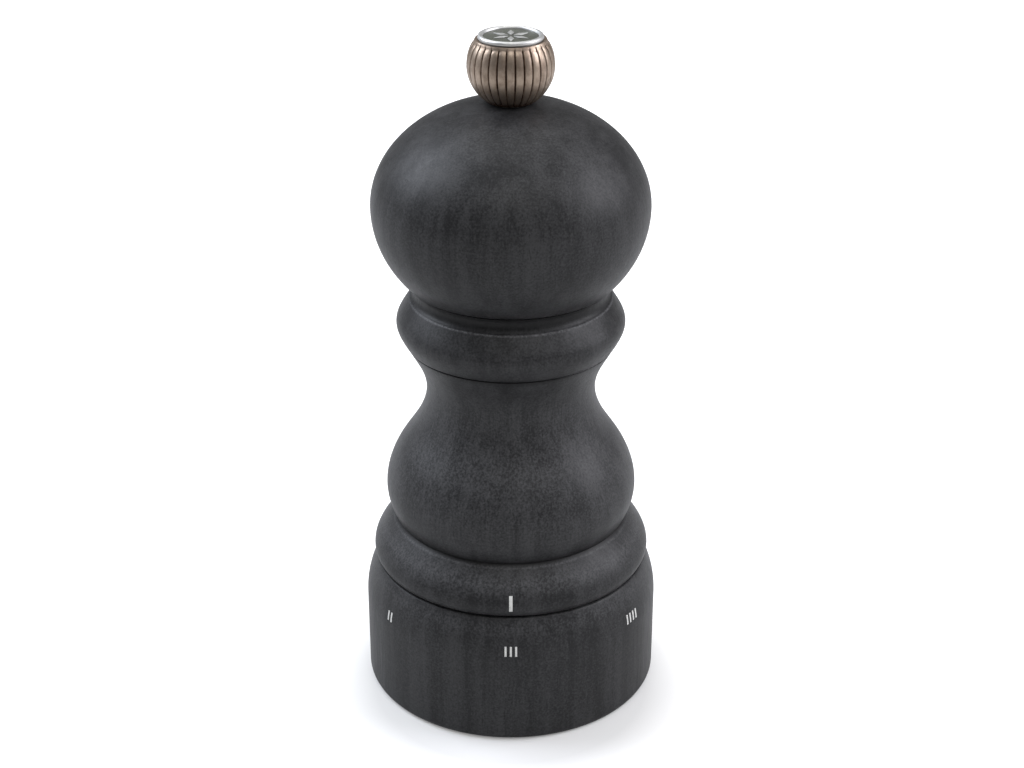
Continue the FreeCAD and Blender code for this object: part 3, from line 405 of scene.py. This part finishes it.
def add_node(tree, kind, inputs=None, **settings):
    """Adds a node, sets it, and links or fills its inputs."""
    node = tree.nodes.new(kind)
    for key, value in settings.items():
        setattr(node, key, value)
    for socket, value in (inputs or {}).items():
        if isinstance(value, bpy.types.NodeSocket):
            tree.links.new(value, node.inputs[socket])
        else:
            node.inputs[socket].default_value = value
    return node


def blank_material(name):
    """New material with an empty node tree."""
    material = bpy.data.materials.new(name)
    material.use_nodes = True
    material.node_tree.nodes.clear()
    return material, material.node_tree


def rgba(tint, share=1.0):
    """Node colour from a linear colour, darkened or lightened by a share."""
    return (*(min(1.0, part * share) for part in tint), 1.0)


def per_mm(*millimetres):
    """Pattern scale for features of the given sizes."""
    return [1 / (size * MM) for size in millimetres]


def stained_beech(settings):
    """Beech, turned, stained graphite and finished with a matt lacquer.

    The eye gets a near-black grey with faint upright grain, short dark flecks, soft clouds where
    the stain took unevenly, broad dull highlights, pale specks where use rubbed the stain thin, pale
    painted highlights on edges and upper faces, and recesses painted near black as shade.
    """
    if "stained beech" in bpy.data.materials:
        return bpy.data.materials["stained beech"]
    material, tree = blank_material("stained beech")
    place = add_node(tree, "ShaderNodeTexCoord").outputs["Object"]
    # Sizes across, across and along the grain in millimetres, and each layer's share of the tone
    layers = {
        "streaks": ((3.2, 3.2, 44.0), 0.34),
        "grain": ((0.45, 0.45, 7.0), 0.12),
        "clouds": ((9.0, 9.0, 13.0), 0.08),
        "dust": ((0.36, 0.36, 0.36), 0.38),
        "turning": ((18.0, 18.0, 0.34), 0.07),
    }
    fields = {}
    total = 0.0
    for name, (size, share) in layers.items():
        at = add_node(tree, "ShaderNodeMapping", {"Vector": place, "Scale": per_mm(*size)})
        field = add_node(tree, "ShaderNodeTexNoise", {
            "Vector": at.outputs[0], "Scale": 1.0, "Detail": 3.0, "Roughness": 0.55, "Distortion": 0.3,
        })
        fields[name] = field.outputs["Fac"]
        sum_up = add_node(tree, "ShaderNodeMath", {
            0: fields[name], 1: share, 2: total,
        }, operation="MULTIPLY_ADD")
        total = sum_up.outputs[0]
    tone = add_node(tree, "ShaderNodeMapRange", {
        "Value": total, "From Min": 0.42, "From Max": 0.58,
    })
    base = add_node(tree, "ShaderNodeMix", {
        FACTOR: tone.outputs[0], FIRST: rgba(settings.dark), SECOND: rgba(settings.light),
    }, data_type="RGBA")
    # Pores 0.25 mm wide and 3 mm long, sparse and dark
    pore_at = add_node(tree, "ShaderNodeMapping", {"Vector": place, "Scale": per_mm(0.25, 0.25, 3.0)})
    pore = add_node(tree, "ShaderNodeTexNoise", {
        "Vector": pore_at.outputs[0], "Scale": 1.0, "Detail": 1.0, "Roughness": 0.5,
    })
    pore_on = add_node(tree, "ShaderNodeMapRange", {
        "Value": pore.outputs["Fac"], "From Min": 0.64, "From Max": 0.78, "To Min": 0.0, "To Max": 0.6,
    })
    pored = add_node(tree, "ShaderNodeMix", {
        FACTOR: pore_on.outputs[0], FIRST: base.outputs[MIXED], SECOND: rgba(settings.dark, 0.4),
    }, data_type="RGBA")
    # Worn places and painted highlights show the paler stain in fine specks, not as an even film
    wear_and_highlight = add_node(tree, "ShaderNodeAttribute", attribute_name="wear_and_highlight")
    specks = add_node(tree, "ShaderNodeMath", {0: fields["dust"], 1: fields["grain"]}, operation="ADD")
    thin_on = add_node(tree, "ShaderNodeMapRange", {
        "Value": specks.outputs[0], "From Min": 0.84, "From Max": 1.24, "To Min": 0.22, "To Max": 0.85,
    })
    patchy = add_node(tree, "ShaderNodeMath", {
        0: wear_and_highlight.outputs["Fac"], 1: thin_on.outputs[0],
    }, operation="MULTIPLY")
    worn_and_lit = add_node(tree, "ShaderNodeMix", {
        FACTOR: patchy.outputs[0], FIRST: pored.outputs[MIXED], SECOND: rgba(settings.worn_and_lit),
    }, data_type="RGBA")
    # Painted shade: recesses are darkened towards near black
    painted_shade = add_node(tree, "ShaderNodeAttribute", attribute_name="painted_shade")
    recess_shaded = add_node(tree, "ShaderNodeMix", {
        FACTOR: painted_shade.outputs["Fac"], FIRST: worn_and_lit.outputs[MIXED], SECOND: rgba(settings.dark, 0.15),
    }, data_type="RGBA")
    gloss = add_node(tree, "ShaderNodeMapRange", {
        "Value": fields["grain"], "From Min": 0.3, "From Max": 0.7, "To Min": 0.39, "To Max": 0.51,
    })
    # Pores press about 0.02 mm into the lacquer, and the grain and turning rings less
    dents = add_node(tree, "ShaderNodeMath", {0: total, 1: pore_on.outputs[0]}, operation="SUBTRACT")
    relief = add_node(tree, "ShaderNodeBump", {
        "Height": dents.outputs[0], "Strength": 0.5, "Distance": 0.04 * MM,
    })
    shader = add_node(tree, "ShaderNodeBsdfPrincipled", {
        "Base Color": recess_shaded.outputs[MIXED], "Roughness": gloss.outputs[0], "Normal": relief.outputs[0],
        "IOR": 1.45, "Specular IOR Level": 0.23,
    })
    add_node(tree, "ShaderNodeOutputMaterial", {"Surface": shader.outputs[0]})
    return material


def pale_fill(settings):
    """Pale filler paint in the marks: chalky, with thin spots where the wood shows."""
    material, tree = blank_material("pale filler paint")
    place = add_node(tree, "ShaderNodeTexCoord").outputs["Object"]
    # Thin spots 0.25 mm across
    thin_at = add_node(tree, "ShaderNodeMapping", {"Vector": place, "Scale": per_mm(0.25, 0.25, 0.25)})
    thin = add_node(tree, "ShaderNodeTexNoise", {
        "Vector": thin_at.outputs[0], "Scale": 1.0, "Detail": 2.0,
    })
    share = add_node(tree, "ShaderNodeMapRange", {
        "Value": thin.outputs["Fac"], "From Min": 0.55, "From Max": 0.8, "To Min": 0.0, "To Max": 0.5,
    })
    base = add_node(tree, "ShaderNodeMix", {
        FACTOR: share.outputs[0], FIRST: rgba(settings.fill), SECOND: rgba(settings.fill, 0.35),
    }, data_type="RGBA")
    shader = add_node(tree, "ShaderNodeBsdfPrincipled", {
        "Base Color": base.outputs[MIXED], "Roughness": 0.6, "IOR": 1.5,
    })
    add_node(tree, "ShaderNodeOutputMaterial", {"Surface": shader.outputs[0]})
    return material


def aged_pewter(settings):
    """Cast pewter, polished and then antiqued: bright warm crowns, brown patina in the grooves, and brown
    painted shade round the foot.
    """
    material, tree = blank_material("aged pewter")
    place = add_node(tree, "ShaderNodeTexCoord").outputs["Object"]
    # Tarnish clouds 1.1 mm across and 1.4 mm tall
    cloud_at = add_node(tree, "ShaderNodeMapping", {"Vector": place, "Scale": per_mm(1.1, 1.1, 1.4)})
    cloud = add_node(tree, "ShaderNodeTexNoise", {
        "Vector": cloud_at.outputs[0], "Scale": 1.0, "Detail": 5.0, "Roughness": 0.65,
    })
    # Patina in the grooves, and painted shade round the ball's foot
    patina_and_foot_shade = add_node(tree, "ShaderNodeAttribute", attribute_name="patina_and_foot_shade")
    uneven = add_node(tree, "ShaderNodeMapRange", {
        "Value": cloud.outputs["Fac"], "From Min": 0.35, "From Max": 0.68, "To Min": -0.1, "To Max": 0.4,
    })
    share = add_node(tree, "ShaderNodeMath", {
        0: patina_and_foot_shade.outputs["Fac"], 1: uneven.outputs[0],
    }, operation="ADD", use_clamp=True)
    base = add_node(tree, "ShaderNodeMix", {
        FACTOR: share.outputs[0], FIRST: rgba(settings.metal), SECOND: rgba(settings.patina_and_shade),
    }, data_type="RGBA")
    dull = add_node(tree, "ShaderNodeMapRange", {
        "Value": share.outputs[0], "To Min": 0.4, "To Max": 0.7,
    })
    shader = add_node(tree, "ShaderNodeBsdfPrincipled", {
        "Base Color": base.outputs[MIXED], "Roughness": dull.outputs[0], "Metallic": 1.0,
    })
    add_node(tree, "ShaderNodeOutputMaterial", {"Surface": shader.outputs[0]})
    return material


def worked_finish(name, tint, roughness, mark_size, metallic=1.0):
    """Metal, enamel or moulding with fine marks, sized (x, y, z) in millimetres, in gloss and tone."""
    material, tree = blank_material(name)
    place = add_node(tree, "ShaderNodeTexCoord").outputs["Object"]
    marks_at = add_node(tree, "ShaderNodeMapping", {"Vector": place, "Scale": per_mm(*mark_size)})
    marks = add_node(tree, "ShaderNodeTexNoise", {
        "Vector": marks_at.outputs[0], "Scale": 1.0, "Detail": 3.0,
    })
    less, more = 1 - FINISH_SWING, 1 + FINISH_SWING
    base = add_node(tree, "ShaderNodeMix", {
        FACTOR: marks.outputs["Fac"], FIRST: rgba(tint, less), SECOND: rgba(tint, more),
    }, data_type="RGBA")
    gloss = add_node(tree, "ShaderNodeMapRange", {
        "Value": marks.outputs["Fac"], "From Min": 0.3, "From Max": 0.7,
        "To Min": roughness * less, "To Max": roughness * more,
    })
    relief = add_node(tree, "ShaderNodeBump", {
        "Height": marks.outputs["Fac"], "Strength": 0.15, "Distance": 0.01 * MM,
    })
    shader = add_node(tree, "ShaderNodeBsdfPrincipled", {
        "Base Color": base.outputs[MIXED], "Roughness": gloss.outputs[0], "Normal": relief.outputs[0],
        "Metallic": metallic,
    })
    add_node(tree, "ShaderNodeOutputMaterial", {"Surface": shader.outputs[0]})
    return material


class MILL_OT_turn_head(bpy.types.Operator):
    """Turns the oval head with its spigot and bore"""

    bl_idname = "mill.turn_head"
    bl_label = "Turn head"

    def execute(self, context):
        wood = context.scene.mill_wood
        radius = wood.head_radius / MM
        top = wood.head_top / MM
        rise = wood.head_rise / MM
        drop = wood.head_drop / MM
        low = -math.asin((HEAD_WIDEST_Z - HEAD_FOOT_Z) / drop)
        high = math.asin((top - HEAD_WIDEST_Z) / rise)
        oval = []
        for k in range(HEAD_LOWER_CUTS):
            angle = low * (1 - k / HEAD_LOWER_CUTS)
            oval.append((radius * math.cos(angle), HEAD_WIDEST_Z + drop * math.sin(angle)))
        for k in range(HEAD_UPPER_CUTS + 1):
            angle = high * k / HEAD_UPPER_CUTS
            oval.append((radius * math.cos(angle), HEAD_WIDEST_Z + rise * math.sin(angle)))
        foot = (oval[0][0] - HEAD_FOOT_CHAMFER, HEAD_UNDERSIDE[-1][1])
        stud_hole = [(HEAD_STUD_HOLE_R, top), (HEAD_STUD_HOLE_R, HEAD_UNDERSIDE[0][1])]
        outline = list(HEAD_UNDERSIDE) + [foot] + oval + stud_hole + [HEAD_UNDERSIDE[0]]
        head = lathe("turned_head", outline, wood.facets)
        soften(head, wood.edge_soft)
        paint_wear_light_and_shade(head)
        settle(head, "head", "stained_wood", stained_beech(wood), "mill_head")
        return {"FINISHED"}


class MILL_OT_turn_body(bpy.types.Operator):
    """Turns the body with its bead, belly, neck, collar and pepper chamber"""

    bl_idname = "mill.turn_body"
    bl_label = "Turn body"

    def execute(self, context):
        wood = context.scene.mill_wood
        outline = smooth_through(BEAD, BEAD_CUTS)
        outline += smooth_through(BELLY_AND_NECK, BELLY_CUTS)
        outline.append(NECK_GROOVE)
        outline += smooth_through(COLLAR, COLLAR_CUTS)
        outline += arc_through(*COVE, COVE_CUTS)
        outline += [(CHAMBER_R, COVE[-1][1]), (CHAMBER_R, FLANGE_RECESS[0][1])]
        outline += [*FLANGE_RECESS, BEAD[0]]
        body = lathe("turned_body", outline, wood.facets)
        soften(body, wood.edge_soft)
        paint_wear_light_and_shade(body)
        settle(body, "body", "stained_wood", stained_beech(wood), "mill_body")
        return {"FINISHED"}


class MILL_OT_turn_ring(bpy.types.Operator):
    """Turns the grind ring at the foot"""

    bl_idname = "mill.turn_ring"
    bl_label = "Turn grind ring"

    def execute(self, context):
        wood = context.scene.mill_wood
        foot = wood.foot_round / MM
        side = RING_SHOULDER[0][0]
        diagonal = foot * math.sqrt(0.5)
        middle = (side - foot + diagonal, foot - diagonal)
        outline = [(RING_BORE_R, 0.0)]
        outline += arc_through((side - foot, 0.0), middle, (side, foot), RING_FOOT_CUTS)
        outline += arc_through(*RING_SHOULDER, SHOULDER_CUTS)
        outline += [(RING_BORE_R, RING_SHOULDER[-1][1]), (RING_BORE_R, 0.0)]
        ring = lathe("turned_ring", outline, wood.facets)
        soften(ring, wood.edge_soft)
        paint_wear_light_and_shade(ring)
        settle(ring, "adjusting_ring", "stained_wood", stained_beech(wood), "grind_ring")
        return {"FINISHED"}


def radius_at(outline, level):
    """Radius of an upright outline at one level."""
    return float(np.interp(level, [z for _, z in outline], [r for r, _ in outline]))


def mark_strip(name, outline, low, high, width, centre_deg, proud):
    """Thin strip of fill that follows an outline between two levels."""
    between = [spot for spot in outline if low < spot[1] < high]
    ends = [(radius_at(outline, level), level) for level in (low, high)]
    strip = [ends[0], *between, ends[1]]
    sweep = width / ends[0][0]
    # Spin turns clockwise seen from above, so the strip starts at its far side
    start = math.radians(centre_deg) + sweep / 2
    bar = lathe(name, [(r + proud, z) for r, z in strip], BAR_FACETS, start, sweep)
    apply_modifier(bar, "SOLIDIFY", thickness=FILL_DEPTH * MM, offset=-1.0)
    shade(bar)
    return bar


class MILL_OT_fill_marks(bpy.types.Operator):
    """Fills the setting tallies on the ring and the index bar on the bead"""

    bl_idname = "mill.fill_marks"
    bl_label = "Fill marks"

    def execute(self, context):
        marks = context.scene.mill_marks
        fill = pale_fill(marks)
        shoulder = arc_through(*RING_SHOULDER, MARKED_SHOULDER_CUTS)
        low, high = marks.bar_low / MM, marks.bar_high / MM
        width, pitch = marks.bar_width / MM, marks.bar_pitch / MM
        proud = marks.proud / MM
        mark_r = radius_at(shoulder, (low + high) / 2)
        bars = []
        for setting in range(1, SETTINGS + 1):
            for i in range(setting):
                offset = math.degrees((i - (setting - 1) / 2) * pitch / mark_r)
                centre = FRONT_DEG + math.degrees(marks.step) * (setting - FRONT_SETTING) + offset
                bars.append(mark_strip("tally", shoulder, low, high, width, centre, proud))
        tallies = join_as("tally_bars", bars)
        settle(tallies, "adjusting_ring", "pale_fill", fill, "setting_marks")
        bead = smooth_through(BEAD, MARKED_BEAD_CUTS)
        index = mark_strip(
            "index_bar", bead, marks.index_low / MM, marks.index_high / MM,
            marks.index_width / MM, FRONT_DEG, proud,
        )
        settle(index, "body", "pale_fill", fill, "index_mark")
        return {"FINISHED"}


class MILL_OT_cast_knob(bpy.types.Operator):
    """Casts the reeded ball of the knob"""

    bl_idname = "mill.cast_knob"
    bl_label = "Cast knob"

    def execute(self, context):
        knob = context.scene.mill_knob
        radius = knob.ball_radius / MM
        level = knob.ball_level / MM
        foot, top = knob.foot_level / MM, knob.top_level / MM
        low = math.asin((foot - level) / radius)
        high = math.asin((top - level) / radius)
        side = []
        for k in range(BALL_CUTS + 1):
            angle = low + (high - low) * k / BALL_CUTS
            side.append((radius * math.cos(angle), level + radius * math.sin(angle)))
        seat_z = top - SEAT_DEPTH
        rim_r = knob.rim_radius / MM
        outline = [*KNOB_BORE, (KNOB_BORE[-1][0], foot), *side]
        outline += [(rim_r, top), (rim_r, seat_z), (0.0, seat_z)]
        ball = lathe("reeded_ball", outline, knob.reeds * FACETS_PER_REED)
        depths = self.press_grooves(ball, knob)
        shade(ball)
        self.paint_patina_and_foot_shade(ball, knob, depths)
        settle(ball, "knob", "aged_metal", aged_pewter(knob), "knob_ball")
        return {"FINISHED"}

    def groove_depth_at(self, place, knob):
        """Depth of the groove at a point: reeds are low ridges with round ends, with grooves between."""
        out = math.hypot(place.x, place.y)
        if math.hypot(out, place.z - knob.ball_level) < knob.ball_radius * SKIN_SHARE:
            return 0.0
        half_pitch = math.pi / knob.reeds
        azimuth = math.atan2(place.y, place.x) - half_pitch
        across = abs(math.remainder(azimuth, 2 * half_pitch)) / half_pitch
        tilt = math.atan2(place.z - knob.ball_level, out)
        reed_foot, reed_top = math.radians(REED_FOOT_DEG), math.radians(REED_TOP_DEG)
        past_end = max(tilt - reed_top, reed_foot - tilt) / half_pitch
        off = min(1.0, math.hypot(across, max(0.0, past_end + 1.0)))
        between, over_end = (
            max(0.0, (part - REED_SHARE) / (1.0 - REED_SHARE)) for part in (across, off)
        )
        groove = between + REED_END_SHARE * (over_end - between)
        fade = max(0.0, min(1.0, 1.0 - past_end / BAND_SHARE))
        return knob.groove_depth * fade * (GROOVE_SHARE * groove + CROWN_SHARE * off ** 2)

    def press_grooves(self, ball, knob):
        """Draws points in towards the ball's centre by the groove's depth, and returns the depths."""
        depths = [self.groove_depth_at(v.co, knob) for v in ball.data.vertices]
        step = knob.groove_depth / DEPTH_TIERS
        tiers = {}
        for i, depth in enumerate(depths):
            tiers.setdefault(round(depth / step), set()).add(i)
        tiers.pop(0, None)
        bpy.context.view_layer.objects.active = ball
        bpy.ops.object.mode_set(mode="EDIT")
        for tier, members in tiers.items():
            mesh = bmesh.from_edit_mesh(ball.data)
            for vertex in mesh.verts:
                vertex.select = vertex.index in members
            mesh.select_flush_mode()
            bmesh.update_edit_mesh(ball.data)
            scale = 1.0 - tier * step / knob.ball_radius
            bpy.ops.transform.resize(
                value=(scale, scale, scale), center_override=(0, 0, knob.ball_level),
            )
        bpy.ops.object.mode_set(mode="OBJECT")
        return depths

    def paint_patina_and_foot_shade(self, ball, knob, depths):
        """Stores the patina in the grooves and the painted shade round the ball's foot, as one attribute.
        """
        patina_and_foot_shade = ball.data.attributes.new("patina_and_foot_shade", "FLOAT", "POINT")
        for i, depth in enumerate(depths):
            groove = (depth / knob.groove_depth - PATINA_START) / PATINA_SPAN
            # Painted shade darkens the ball towards its foot
            height = ball.data.vertices[i].co.z - knob.foot_level
            under = (FOOT_SHADE_TOP * MM - height) / (FOOT_SHADE_SPAN * MM)
            patina_and_foot_shade.data[i].value = max(0.0, min(1.0, max(groove, under)))


class MILL_OT_cap_knob(bpy.types.Operator):
    """Sets the bright rim, the dark disc and its raised rosette on the knob"""

    bl_idname = "mill.cap_knob"
    bl_label = "Cap knob"

    def execute(self, context):
        knob = context.scene.mill_knob
        outer = knob.rim_radius / MM
        width = knob.rim_width / MM
        top = knob.rim_top / MM
        foot = top - RIM_HEIGHT
        crown = top - width / 2
        inner = outer - width
        neck = outer - RIM_NECK_INSET
        # The gap under the rim reads as a dark line round the ball's top
        gap = knob.top_level / MM + RIM_GAP
        outline = [(inner, foot), (neck, foot), (neck, gap), (outer, gap)]
        outline += arc_through((outer, crown), (outer - width / 2, top), (inner, crown), RIM_CUTS)
        outline += [(inner, foot)]
        rim = lathe("knob_rim", outline, CAP_FACETS)
        shade(rim)
        # Nickel plate, brushed to a satin: pale, with soft wide glints
        bright = worked_finish("satin nickel rim", knob.rim, 0.48, (0.3, 0.3, 0.3))
        settle(rim, "knob", "bright_rim", bright, "knob_bezel")
        face = knob.disc_level / MM
        disc = lathe("knob_face", [(0.0, foot), (inner, foot), (inner, face), (0.0, face)], CAP_FACETS)
        soften(disc, DISC_SOFT * MM)
        # Fired enamel, worn dull: dark olive grey with a faint grain
        enamel = worked_finish("dark enamel", knob.enamel, 0.5, (0.22, 0.22, 0.22), 0.0)
        settle(disc, "knob", "dark_enamel", enamel, "knob_disc")
        self.set_rosette(knob, bright)
        return {"FINISHED"}

    def set_rosette(self, knob, bright):
        """Models one raised lozenge and copies it round the disc."""
        face = knob.disc_level / MM
        petals = []
        for i in range(PETALS):
            turn = math.radians(90.0 + 360.0 / PETALS * i)
            across, along = math.cos(turn), math.sin(turn)
            outline = [(x * across - y * along, x * along + y * across) for x, y in PETAL]
            petals.append(plate("petal", outline, face, face + PETAL_RISE))
        rosette = join_as("knob_motif", petals)
        soften(rosette, PETAL_SOFT * MM)
        settle(rosette, "knob", "bright_rim", bright, "knob_rosette")


class MILL_OT_finish_grinder(bpy.types.Operator):
    """Gives the shaft, grinder, housing and fasteners their finishes"""

    bl_idname = "mill.finish_grinder"
    bl_label = "Finish grinder"

    def execute(self, context):
        # Drawn bar and stamped plate: bright grey with lengthwise draw lines
        drawn = worked_finish("drawn stainless steel", linear("B4B6B8"), 0.3, (0.25, 0.25, 6.0))
        # Case-hardened, oiled teeth: dark grey with a dull sheen
        hardened = worked_finish("case-hardened steel", linear("6E6C6B"), 0.38, (0.4, 0.4, 0.4))
        # Zinc-plated screws: pale, faintly blue
        plated = worked_finish("zinc-plated steel", linear("BFC4C8"), 0.32, (0.2, 0.2, 0.2))
        # Sintered bronze: warm, granular, dull
        bronze = worked_finish("sintered bronze", linear("A8794A"), 0.45, (0.15, 0.15, 0.15))
        # Moulded nylon: even, slightly pebbled
        black = worked_finish("black moulded nylon", linear("262627"), 0.5, (0.35, 0.35, 0.35), 0.0)
        # Natural nylon, painted dark grey as the shade under the knob's foot
        shade_dark_nylon = worked_finish("nylon darkened as shade", linear("6A665F"), 0.5, (0.35, 0.35, 0.35), 0.0)
        finishes = {
            drawn: (
                "drive_shaft", "shaft_guide", "bridge", "drive_plate", "thrust_washer", "rotor_spring",
            ),
            hardened: ("rotor", "stator", "rotor_clip", "guide_clip", "ring_circlip", "click_spring"),
            plated: ("housing_screws", "bridge_screws", "drive_plate_screws"),
            bronze: ("bridge_bush", "knob_bush"),
            black: ("base_housing", "ring_insert", "stator_carrier"),
            shade_dark_nylon: ("knob_washer",),
        }
        for material, nodes in finishes.items():
            for node in nodes:
                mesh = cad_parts[node].data
                mesh.materials.clear()
                mesh.materials.append(material)
        return {"FINISHED"}


class MILL_OT_light_stage(bpy.types.Operator):
    """Sets the pale floor, the soft boxes, the sky and the camera"""

    bl_idname = "mill.light_stage"
    bl_label = "Light stage"

    def execute(self, context):
        scene = context.scene
        scene.view_settings.view_transform = "Standard"
        self.lay_floor()
        self.paint_sky(scene)
        for softbox in SOFTBOXES:
            self.hang_softbox(*softbox)
        self.set_camera(scene)
        return {"FINISHED"}

    def lay_floor(self):
        """Lays paper that reads as plain white to the camera and still takes the mill's shadow."""
        deselect_all()
        bpy.ops.mesh.primitive_plane_add(size=FLOOR_SIZE, location=(0, 0, 0))
        floor = bpy.context.object
        floor.name = "floor"
        material, tree = blank_material("white paper sweep")
        seen = add_node(tree, "ShaderNodeLightPath")
        # Reflections get part of the glow, because the lit paper is pale by itself
        direct = add_node(tree, "ShaderNodeMath", {
            0: seen.outputs["Is Glossy Ray"], 1: REFLECTED_GLOW, 2: seen.outputs["Is Camera Ray"],
        }, operation="MULTIPLY_ADD")
        either = add_node(tree, "ShaderNodeMath", {
            0: direct.outputs[0], 1: seen.outputs["Is Transmission Ray"],
        }, operation="MAXIMUM")
        # The glow is faint round the foot, so the shadow stays, and grows to plain white further out
        place = add_node(tree, "ShaderNodeTexCoord").outputs["Object"]
        reach = add_node(tree, "ShaderNodeVectorMath", {
            0: place, 1: SHADE_SPOT,
        }, operation="DISTANCE").outputs["Value"]
        near, far = (
            add_node(tree, "ShaderNodeMapRange", {
                "Value": reach, "From Min": start, "From Max": end, "To Min": faint, "To Max": full,
            }).outputs[0]
            for start, end, faint, full in GLOW_RAMPS
        )
        spread = add_node(tree, "ShaderNodeMath", {0: near, 1: far}, operation="ADD")
        lift = add_node(tree, "ShaderNodeMath", {
            0: either.outputs[0], 1: spread.outputs[0],
        }, operation="MULTIPLY")
        paper = add_node(tree, "ShaderNodeBsdfDiffuse", {"Color": rgba([FLOOR_GREY] * 3)})
        glow = add_node(tree, "ShaderNodeEmission", {"Color": (1, 1, 1, 1), "Strength": lift.outputs[0]})
        both = add_node(tree, "ShaderNodeAddShader", {0: paper.outputs[0], 1: glow.outputs[0]})
        add_node(tree, "ShaderNodeOutputMaterial", {"Surface": both.outputs[0]})
        floor.data.materials.append(material)

    def paint_sky(self, scene):
        """Makes the room: white to the camera, dim in reflections, and a soft fill for the rest."""
        sky = bpy.data.worlds.new("studio white")
        scene.world = sky
        sky.use_nodes = True
        tree = sky.node_tree
        tree.nodes.clear()
        seen = add_node(tree, "ShaderNodeLightPath")
        direct = add_node(tree, "ShaderNodeMath", {
            0: seen.outputs["Is Camera Ray"], 1: seen.outputs["Is Glossy Ray"],
        }, operation="MAXIMUM")
        either = add_node(tree, "ShaderNodeMath", {
            0: direct.outputs[0], 1: seen.outputs["Is Transmission Ray"],
        }, operation="MAXIMUM")
        # The room is darker on the camera's side, so the mill's front reflects less of it
        way = add_node(tree, "ShaderNodeTexCoord")
        parts = add_node(tree, "ShaderNodeSeparateXYZ", {0: way.outputs["Generated"]})
        room = add_node(tree, "ShaderNodeMapRange", {
            "Value": parts.outputs["Y"], "From Min": -0.5, "From Max": 0.6,
            "To Min": ROOM_FRONT, "To Max": ROOM_BACK,
        })
        shown = add_node(tree, "ShaderNodeMath", {
            0: room.outputs[0], 1: seen.outputs["Is Camera Ray"],
        }, operation="MAXIMUM")
        strength = add_node(tree, "ShaderNodeMix", {
            "Factor": either.outputs[0], "A": ROOM_FILL, "B": shown.outputs[0],
        }, data_type="FLOAT")
        light = add_node(tree, "ShaderNodeBackground", {
            "Color": (1, 1, 1, 1), "Strength": strength.outputs[0],
        })
        add_node(tree, "ShaderNodeOutputWorld", {"Surface": light.outputs[0]})

    def hang_softbox(self, name, place, size, watts, tint):
        """Hangs one rectangular light that faces the mill."""
        deselect_all()
        bpy.ops.object.light_add(type="AREA", location=place)
        box = bpy.context.object
        box.name = name
        box.data.shape = "RECTANGLE"
        box.data.size, box.data.size_y = size
        box.data.energy = watts
        box.data.color = linear(tint)
        aim = Vector(SOFTBOX_AIM) - Vector(place)
        box.rotation_euler = aim.to_track_quat("-Z", "Y").to_euler()

    def set_camera(self, scene):
        """Looks down on the mill's front from a little above the knob."""
        deselect_all()
        tilt = math.radians(90.0 - CAMERA_PITCH_DEG)
        bpy.ops.object.camera_add(location=CAMERA_PLACE, rotation=(tilt, 0, 0))
        camera = bpy.context.object
        camera.data.sensor_width = SENSOR_MM
        camera.data.lens = LENS_MM
        camera.data.clip_start = CLIP_NEAR
        camera.data.clip_end = CLIP_FAR
        scene.camera = camera


STEPS = (
    MILL_OT_turn_head, MILL_OT_turn_body, MILL_OT_turn_ring, MILL_OT_fill_marks,
    MILL_OT_cast_knob, MILL_OT_cap_knob, MILL_OT_finish_grinder, MILL_OT_light_stage,
)


class MILL_PT_sidebar(bpy.types.Panel):
    """Lists the steps that dress the mill"""

    bl_idname = "MILL_PT_sidebar"
    bl_label = "Pepper mill"
    bl_space_type = "VIEW_3D"
    bl_region_type = "UI"
    bl_category = "Mill"

    def draw(self, context):
        for step in STEPS:
            self.layout.operator(step.bl_idname)
        for group in (context.scene.mill_wood, context.scene.mill_marks, context.scene.mill_knob):
            box = self.layout.box()
            for key in group.bl_rna.properties.keys():
                if key not in ("rna_type", "name"):
                    box.prop(group, key)


CLASSES = (MillWoodSettings, MillMarkSettings, MillKnobSettings, *STEPS, MILL_PT_sidebar)


def register():
    for cls in CLASSES:
        bpy.utils.register_class(cls)
    bpy.types.Scene.mill_wood = bpy.props.PointerProperty(type=MillWoodSettings)
    bpy.types.Scene.mill_marks = bpy.props.PointerProperty(type=MillMarkSettings)
    bpy.types.Scene.mill_knob = bpy.props.PointerProperty(type=MillKnobSettings)


def unregister():
    del bpy.types.Scene.mill_knob
    del bpy.types.Scene.mill_marks
    del bpy.types.Scene.mill_wood
    for cls in reversed(CLASSES):
        bpy.utils.unregister_class(cls)


def main():
    register()
    bpy.ops.mill.turn_head()
    bpy.ops.mill.turn_body()
    bpy.ops.mill.turn_ring()
    bpy.ops.mill.fill_marks()
    bpy.ops.mill.cast_knob()
    bpy.ops.mill.cap_knob()
    bpy.ops.mill.finish_grinder()
    bpy.ops.mill.light_stage()


if __name__ == "__main__":
    main()
